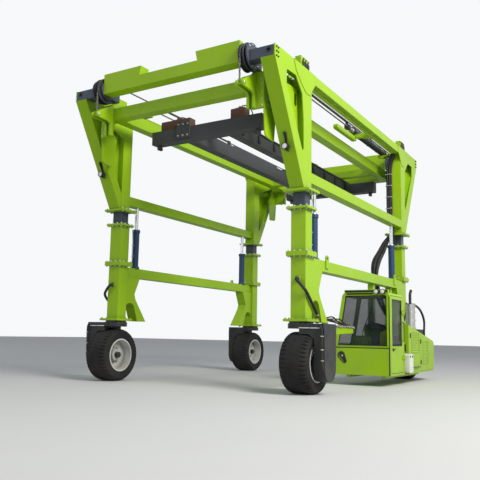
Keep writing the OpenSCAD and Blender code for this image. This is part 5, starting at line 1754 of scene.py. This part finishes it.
    def _joints(self) -> None:
        """Panel screws and the dark joints between the cab's panels."""
        front, x, out, foot = S.cab_front, S.cab_front + 0.03, S.cab_out, S.cab_foot
        low, high, dark, screws = S.cab_z, S.screen_z - 0.03, Shape(), Shape()
        for start, stop, round_off in (
                ((front - 0.002, foot + 0.002, high + 0.0005),
                 (x - 0.001, out - 0.002, high + 0.017), 0.002),
                ((x - 0.001, out - 0.014, low + 0.004), (x + 0.004, out + 0.0015, high), 0.001),
                ((front - 0.001, out - 0.016, high + 0.017),
                 (front + 0.004, out + 0.0015, S.cab_top - S.cab_corner), 0.001),
                ((front + 0.001, out, low + 0.01), (x - 0.004, out + 0.0015, high), 0.0005)):
            dark.box(start, stop, round_off)
        dark.make("panel_joints", SEAL, "left_side")
        for y in (foot + 0.03, out - 0.03):
            for z in (low + 0.05, (low + high) / 2, high - 0.04):
                screws.bolt((x, y, z), AHEAD, self.screw)
        screws.make("panel_screws", STEEL, "left_side")


@dataclass
class DriverPlace:
    """The driver's seat with sewn cushions, its arms and the dash."""

    voxel: float = 0.006
    quick_voxel: float = 0.012
    cap: float = 0.022
    sewn: float = 0.008
    sewn_w: float = 0.009
    steps: int = 20
    quality: int = 4
    mass: float = 0.3
    pressure: float = 4.0
    channels: int = 3
    fade: float = 0.04
    bellows: int = 4
    fill: float = 0.7

    def build(self) -> None:
        """Builds the seat and the controls."""
        x, y, z = S.seat_x, S.drive_y, S.cab_z + 0.04 + 0.39
        squab = self._pad("seat_cushion", (x + 0.035, y - 0.215, z - 0.085),
                          (x + 0.445, y + 0.215, z - 0.012), DARK_CLOTH)
        back = self._pad("seat_back", (x + 0.028, y - 0.205, z + 0.01),
                         (x + 0.088, y + 0.205, z + 0.565), DARK_CLOTH, 0.06)
        insert = self._pad("seat_insert", (x + 0.07, y - 0.12, z + 0.08),
                           (x + 0.098, y + 0.12, z + 0.47), CLOTH, 0.05)
        for piece in (squab, back, insert):
            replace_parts(piece, "driver_seat")
        base, floor = Shape(), S.cab_z
        base.box((x + 0.08, y - 0.13, floor + 0.042), (x + 0.33, y + 0.13, z - 0.10), 0.02)
        for k in range(self.bellows):
            up = floor + 0.09 + 0.045 * k
            base.box((x + 0.072, y - 0.138, up), (x + 0.338, y + 0.138, up + 0.015), 0.006)
        base.box((x + 0.025, y - 0.225, z - 0.10), (x + 0.455, y + 0.225, z - 0.085), 0.006)
        for s in (-1, 1):
            arm = y + s * 0.242
            base.block((x + 0.20, arm, z + 0.11), (0.14, 0.02, 0.02), 0.012)
            base.rod((x + 0.31, arm, z + 0.12), (x + 0.318, arm, z + 0.20), 0.007, 12)
            base.ball((x + 0.32, arm, z + 0.21), 0.018)
        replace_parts(base.make("seat_frame", BLACK, "left_side"), "driver_seat")
        dash = Shape().box((0.04, y - 0.10, 1.015), (0.14, y + 0.10, 1.085), 0.012)
        dash.box((0.165, S.cab_foot + 0.09, S.sill_z - 0.09),
                 (0.222, S.cab_out - 0.08, S.sill_z + 0.012), 0.01)
        dash.rod((0.03, y + 0.075, 1.03), (0.01, y + 0.13, 1.06), 0.006, 10)
        dash.make("dash", BLACK, "left_side")

    def _pad(self, name: str, low: Point, high: Point, finish: Finish,
             lean: float = 0.0) -> bpy.types.Object:
        """One stuffed pad, swollen by a cloth simulation and sewn round its middle.

        Args:
            name: the piece's name.
            low: lowest corner of the slack shape.
            high: highest corner.
            finish: its cloth.
            lean: how far its top lies behind its foot.

        Returns:
            The piece.
        """
        shape = Shape().box(low, high, 0.02)
        for vert in shape.bm.verts:
            vert.co.x -= lean * max(0.0, vert.co.z - low[2]) / (high[2] - low[2])
        piece = shape.make(name, finish, None)
        remesh = piece.modifiers.new("skin", "REMESH")
        remesh.mode = "VOXEL"
        remesh.voxel_size = self.voxel
        self._apply(piece)
        start = [v.co.copy() for v in piece.data.vertices]
        self._swell(piece)
        self._sew(piece, start, low, high)
        finer = piece.modifiers.new("finer", "SUBSURF")
        finer.levels = finer.render_levels = 1
        self._apply(piece)
        piece.data.shade_smooth()
        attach(piece, "left_side")
        return piece

    @staticmethod
    def _apply(piece: bpy.types.Object) -> None:
        """Replaces the piece's mesh with what its modifiers make of it.

        Args:
            piece: the pad.
        """
        bpy.context.view_layer.update()
        graph = bpy.context.evaluated_depsgraph_get()
        made = bpy.data.meshes.new_from_object(piece.evaluated_get(graph))
        materials = list(piece.data.materials)
        piece.modifiers.clear()
        piece.data = made
        if not made.materials:
            for material in materials:
                made.materials.append(material)

    def _swell(self, piece: bpy.types.Object) -> None:
        """Blows the pad up with Blender's cloth.

        Args:
            piece: the pad.
        """
        cloth = piece.modifiers.new("stuffing", "CLOTH")
        cloth.settings.quality = self.quality
        cloth.settings.mass = self.mass
        cloth.settings.use_pressure = True
        cloth.settings.uniform_pressure_force = self.pressure
        cloth.settings.effector_weights.gravity = 0.0
        cloth.point_cache.frame_start = 1
        cloth.point_cache.frame_end = self.steps
        scene = bpy.context.scene
        for step in range(self.steps):
            scene.frame_set(step + 1)
        self._apply(piece)
        scene.frame_set(1)

    def _sew(self, piece: bpy.types.Object, start: Sequence[Vector], low: Point,
             high: Point) -> None:
        """Caps how far each point moved and presses the sewn channels in.

        Args:
            piece: the pad.
            start: its points before the swelling.
            low: lowest corner of the slack shape.
            high: highest corner.
        """
        flat = min(range(3), key=lambda i: high[i] - low[i])
        along = 0 if flat == 2 else 2
        middle = (low[flat] + high[flat]) / 2
        step = (high[along] - low[along]) / (self.channels + 1)
        lines = [low[along] + step * (k + 1) for k in range(self.channels)]
        for vert, before in zip(piece.data.vertices, start):
            move = vert.co - before
            if move.length > self.cap:
                vert.co = before + move * (self.cap / move.length)
            for line in lines:
                near = math.exp(-((before[along] - line) / self.sewn_w) ** 2)
                inner = min(abs(before[1] - low[1]), abs(high[1] - before[1]))
                depth = self.sewn * near * min(1.0, inner / self.fade)
                if vert.co[flat] >= middle:
                    vert.co[flat] -= depth
                elif flat != 0:
                    vert.co[flat] += depth


@dataclass
class EngineSide:
    """Louvres, latches and step box beside the cab."""

    slot_step: float = 0.07
    latches: tuple[Point, ...] = ((0.11, 0.98), (0.11, 0.5), (0.86, 0.86), (0.86, 0.42))
    screws_back: Point = (0.05, 0.8, 0.95, 1.55, 1.88)
    screws_z: Point = (0.26, 0.55)
    rail_z: float = 0.33
    rail_r: float = 0.010
    treads: int = 7
    tread_step: float = 0.03
    step_out: float = 0.095
    step_w: float = 0.29

    def build(self) -> None:
        """Builds the pieces on the left side frame."""
        self._louvres()
        self._fittings()
        self._steps()

    def _louvres(self) -> None:
        """Slats in the slots and a raised frame round each group."""
        slats, frames, out = Shape(), Shape(), S.cab_out
        for start, length, low, count in S.louvres:
            x0, x1 = S.hood_front - start - length, S.hood_front - start
            for k in range(count):
                z = low + k * self.slot_step
                slats.plate([(out - 0.026, z + 0.045), (out - 0.022, z + 0.047),
                             (out + 0.006, z + 0.004), (out + 0.006, z - 0.002)],
                            0, (x0 - 0.004, x1 + 0.004))
            top = low + (count - 1) * self.slot_step + 0.03
            outer, inner = (
                [(x0 - over, low - under), (x1 + over, low - under), (x1 + over, top + above),
                 (x0 - over, top + above)]
                for over, under, above in ((0.035, 0.03, 0.03), (0.012, 0.012, 0.022)))
            frames.ring(outer, inner, 1, (out - 0.001, out + 0.006))
        slats.make("louvre_slats", LIME, "left_side")
        frames.make("louvre_frames", LIME, "left_side", 0.0015)

    def _fittings(self) -> None:
        """Latches, hinges, screws, a grab rail and the tail lamp of the fairing."""
        dark, bright, hood, out = Shape(), Shape(), S.hood_front, S.cab_out
        for back, z in self.latches:
            x = hood - back
            dark.box((x - 0.02, out, z - 0.045), (x + 0.02, out + 0.014, z + 0.045), 0.005)
            dark.rod((x, out + 0.012, z + 0.015), (x, out + 0.02, z + 0.015), 0.012, 20)
        dark.box((hood - 0.001, 2.655, 0.655), (hood + 0.018, 2.71, 0.80), 0.006)
        dark.rod((hood + 0.017, 2.683, 0.76), (hood + 0.026, 2.683, 0.76), 0.014, 20)
        for back in self.screws_back:
            for z in self.screws_z:
                bright.bolt((hood - back, out, z), LEFTWARD, 0.007)
        dark.tube([(hood - back, out + off, self.rail_z) for back, off in (
            (0.10, 0.0), (0.10, 0.035), (0.16, 0.04), (0.62, 0.04), (0.68, 0.035), (0.68, 0.0))],
            self.rail_r, 10, 5)
        seam, tail = hood - 0.87, hood - S.fairing
        dark.box((seam - 0.002, out, S.cab_z + 0.02), (seam + 0.002, out + 0.0015, 1.035), 0.0005)
        dark.box((hood - 1.9, out, 0.235), (hood - 0.02, out + 0.0015, 0.239), 0.0005)
        dark.box((tail - 0.004, out - 0.024, 0.42), (tail, out - 0.002, 0.62), 0.001)
        dark.make("fairing_fittings", BLACK, "left_side")
        bright.make("fairing_screws", STEEL, "left_side")

    def _steps(self) -> None:
        """Treads and latches of the step box."""
        x0, x1 = S.hood_front + 0.025, S.hood_front + 0.295
        y0, y1 = S.cab_out + self.step_out - self.step_w, S.cab_out + self.step_out
        top, tread, trim = S.cab_z + 0.035 + 0.37, Shape(), Shape()
        for k in range(self.treads):
            x = x0 + 0.045 + self.tread_step * k
            tread.box((x - 0.005, y0 + 0.02, top - 0.002), (x + 0.005, y1 - 0.015, top + 0.0045),
                      0.002)
        for z in (top - 0.13, top - 0.25):
            tread.box((x0 + 0.03, y1 - 0.002, z - 0.012), (x1 - 0.03, y1 + 0.004, z + 0.012),
                      0.003)
        tread.make("step_treads", PALE, "left_side")
        for x in (x0 + 0.06, x1 - 0.06):
            trim.box((x - 0.012, y1 - 0.001, top - 0.075), (x + 0.012, y1 + 0.010, top - 0.03),
                     0.003)
            trim.bolt((x, y1 + 0.009, top - 0.04), LEFTWARD, 0.005)
        trim.make("step_latches", BLACK, "left_side")


@dataclass
class Exhaust:
    """The perforated shield with its cap, stack and bent pipe."""

    radius: float = 0.1
    height: float = 0.52
    sheet: float = 0.004
    pipe_r: float = 0.025
    stack_r: float = 0.030
    bands: Point = (0.012, 0.17, 0.35)

    def build(self) -> None:
        """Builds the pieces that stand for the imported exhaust."""
        x, y, r = S.stack_x, S.stack_y, self.radius
        low = S.hood_z(x + 0.112) + 0.0103
        high = low + self.height
        shield = Shape().spin([(r - self.sheet, 0.0), (r, 0.0), (r, self.height),
                               (r - self.sheet, self.height)], (x, y, low), UP, 64)
        pieces = [shield.make("exhaust_shield", SHIELD, "left_side")]
        bands, cap = Shape(), Shape()
        for z in (*(low + up for up in self.bands), high - 0.016):
            bands.band((x, y, z), UP, (r - 0.001, r + 0.003), 0.011, 64)
            bands.box((x - 0.012, y + r, z - 0.009), (x + 0.012, y + r + 0.016, z + 0.009), 0.002)
        pieces.append(bands.make("exhaust_bands", STEEL, "left_side"))
        base, top = high - 0.002, high - 0.0403
        cap.spin([(0.031, 0.006), (0.031, 0.0), (0.108, 0.0), (0.108, 0.008), (0.095, 0.014)],
                 (x, y, base), UP, 64)
        cap.tube([(x, y, base + 0.005), (x, y, base + 0.09), (x, y, base + 0.18),
                  (x - 0.02, y, base + 0.24), (x - 0.08, y, base + 0.3)], self.stack_r, 24, 5)
        clip = S.hood_front - 1.6
        foot = S.hood_z(clip) - 0.03
        cap.tube([(x - r + 0.008, y, top), (x - r - 0.06, y, top + 0.015),
                  (x - 0.42, y, top + 0.025), (x - 0.75, y, top - 0.05),
                  (clip + 0.06, y, top - 0.19),
                  (clip - 0.03, y, top - 0.33), (clip, y, foot + 0.18), (clip, y, foot + 0.08),
                  (clip, y, foot + 0.0003)], self.pipe_r, 16, 6)
        collar = (self.pipe_r - 0.001, self.pipe_r + 0.006)
        cap.band((clip, y, foot + 0.03), UP, collar, 0.014, 24)
        cap.band((x - r - 0.03, y, top + 0.009), (1, 0, -0.2), collar, 0.014, 24)
        pieces.append(cap.make("exhaust_stack", BLACK, "left_side"))
        for piece in pieces:
            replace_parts(piece, "exhaust")


@dataclass
class Studio:
    """Floor, backdrop, lamps and camera."""

    eye: Point = (12.285, 6.708, 0.93)
    heading: float = math.radians(58.6)
    climb: float = math.radians(8.43)
    roll: float = math.radians(1.07)
    focal_px: float = 640.0
    picture_px: float = 480.0
    sensor: float = 36.0
    aim: Point = (0, 0, 2.5)
    floor_size: float = 160.0
    sky: float = 0.38
    key: float = 3500.0
    fill: float = 180.0

    def build(self) -> None:
        """Sets the whole studio up."""
        self._camera()
        self._floor()
        self._world()
        self._lamps()
        scene = bpy.context.scene
        scene.view_settings.view_transform = "Standard"

    def _camera(self) -> None:
        """The camera at the photograph's place."""
        h, e, r = self.heading, self.climb, self.roll
        ahead = Vector((-math.sin(h) * math.cos(e), -math.cos(h) * math.cos(e), math.sin(e)))
        right = ahead.cross(Vector((0, 0, 1))).normalized()
        up = right.cross(ahead)
        right, up = (math.cos(r) * right + math.sin(r) * up,
                     math.cos(r) * up - math.sin(r) * right)
        data = bpy.data.cameras.new("photo_view")
        data.sensor_width = self.sensor
        data.lens = self.focal_px / self.picture_px * self.sensor
        data.clip_end = 300.0
        camera = bpy.data.objects.new("photo_view", data)
        turn = Matrix((right, up, -ahead)).transposed().to_4x4()
        camera.matrix_world = Matrix.Translation(self.eye) @ turn
        bpy.context.scene.collection.objects.link(camera)
        bpy.context.scene.camera = camera

    def _floor(self) -> None:
        """A plain pale floor."""
        bpy.ops.mesh.primitive_plane_add(size=self.floor_size, location=(0, 0, 0))
        floor = bpy.context.object
        floor.name = "studio_floor"
        graph = Graph("studio_floor")
        tone = graph.mix(graph.noise(0.4, 4.0), (0.60, 0.60, 0.59), (0.64, 0.64, 0.63))
        graph.set(Base_Color=tone, Roughness=0.85,
                  Normal=graph.bump(graph.noise(30.0), 0.1, 0.001))
        floor.data.materials.append(graph.material)

    def _world(self) -> None:
        """A pale backdrop for the eye, and a plain sky for the light."""
        world = bpy.data.worlds.new("studio")
        bpy.context.scene.world = world
        world.use_nodes = True
        tree = world.node_tree
        tree.nodes.clear()
        out = tree.nodes.new("ShaderNodeOutputWorld")
        seen, light = (tree.nodes.new("ShaderNodeBackground") for _ in range(2))
        seen.inputs[0].default_value = (0.93, 0.945, 0.96, 1)
        seen.inputs[1].default_value = 1.0
        light.inputs[0].default_value = (0.80, 0.86, 0.95, 1)
        light.inputs[1].default_value = self.sky
        path = tree.nodes.new("ShaderNodeLightPath")
        shown = path.outputs["Is Camera Ray"]
        for ray in ("Is Glossy Ray", "Is Transmission Ray"):
            either = tree.nodes.new("ShaderNodeMath")
            either.operation = "MAXIMUM"
            tree.links.new(shown, either.inputs[0])
            tree.links.new(path.outputs[ray], either.inputs[1])
            shown = either.outputs[0]
        mix = tree.nodes.new("ShaderNodeMixShader")
        tree.links.new(shown, mix.inputs[0])
        tree.links.new(light.outputs[0], mix.inputs[1])
        tree.links.new(seen.outputs[0], mix.inputs[2])
        tree.links.new(mix.outputs[0], out.inputs[0])

    def _lamps(self) -> None:
        """A soft key from the cab side and a weak fill from the front."""
        for name, at, size, power, colour in (
                ("key", (6.0, 15.0, 12.5), 7.0, self.key, (1.0, 0.98, 0.93)),
                ("fill", (15.0, -5.0, 6.0), 8.0, self.fill, (0.93, 0.96, 1.0))):
            data = bpy.data.lights.new(name, "AREA")
            data.size = size
            data.energy = power
            data.color = colour
            lamp = bpy.data.objects.new(name, data)
            lamp.location = at
            aim = Vector(self.aim) - Vector(at)
            lamp.rotation_euler = aim.to_track_quat("-Z", "Y").to_euler()
            bpy.context.scene.collection.objects.link(lamp)


def dress_solids(solids: dict[str, bpy.types.Object]) -> None:
    """Gives every carried-over solid its own finish, or the finish of its slot.

    Args:
        solids: the CAD nodes by name.
    """
    for part in frame["record"]["subparts"]:
        solid = solids[part["node"]]
        finish = BY_NODE.get(part["node"], BY_SLOT[part["material_slot"]]).material()
        if not solid.material_slots:
            solid.data.materials.append(finish)
        for place in solid.material_slots:
            place.material = finish


def main() -> None:
    """Builds every sub-assembly in order."""
    logging.basicConfig(level=logging.INFO, format="%(message)s")
    Studio().build()
    LOG.info("studio set")
    dress_solids(frame["nodes"])
    LOG.info("solids dressed")
    for end in End:
        for side in Side:
            for kind in (Wheel, Flanges, ForkTrim, LegTop, Sheave, LeafChain, LiftCylinder,
                         TopBox):
                part = kind(end, side)
                part.build()
                LOG.info("%s at %s", kind.__name__, part.name)
    for side in Side:
        for kind in (HoistRod, HoistCylinder):
            kind(side).build()
            LOG.info("%s on the %s", kind.__name__, side.name.lower())
    for whole in (LegLamps(), HoseRuns(), Spreader(), CabShell(), DriverPlace(), EngineSide(),
                  Exhaust()):
        whole.build()
        LOG.info("%s built", type(whole).__name__)


if __name__ == "__main__":
    main()
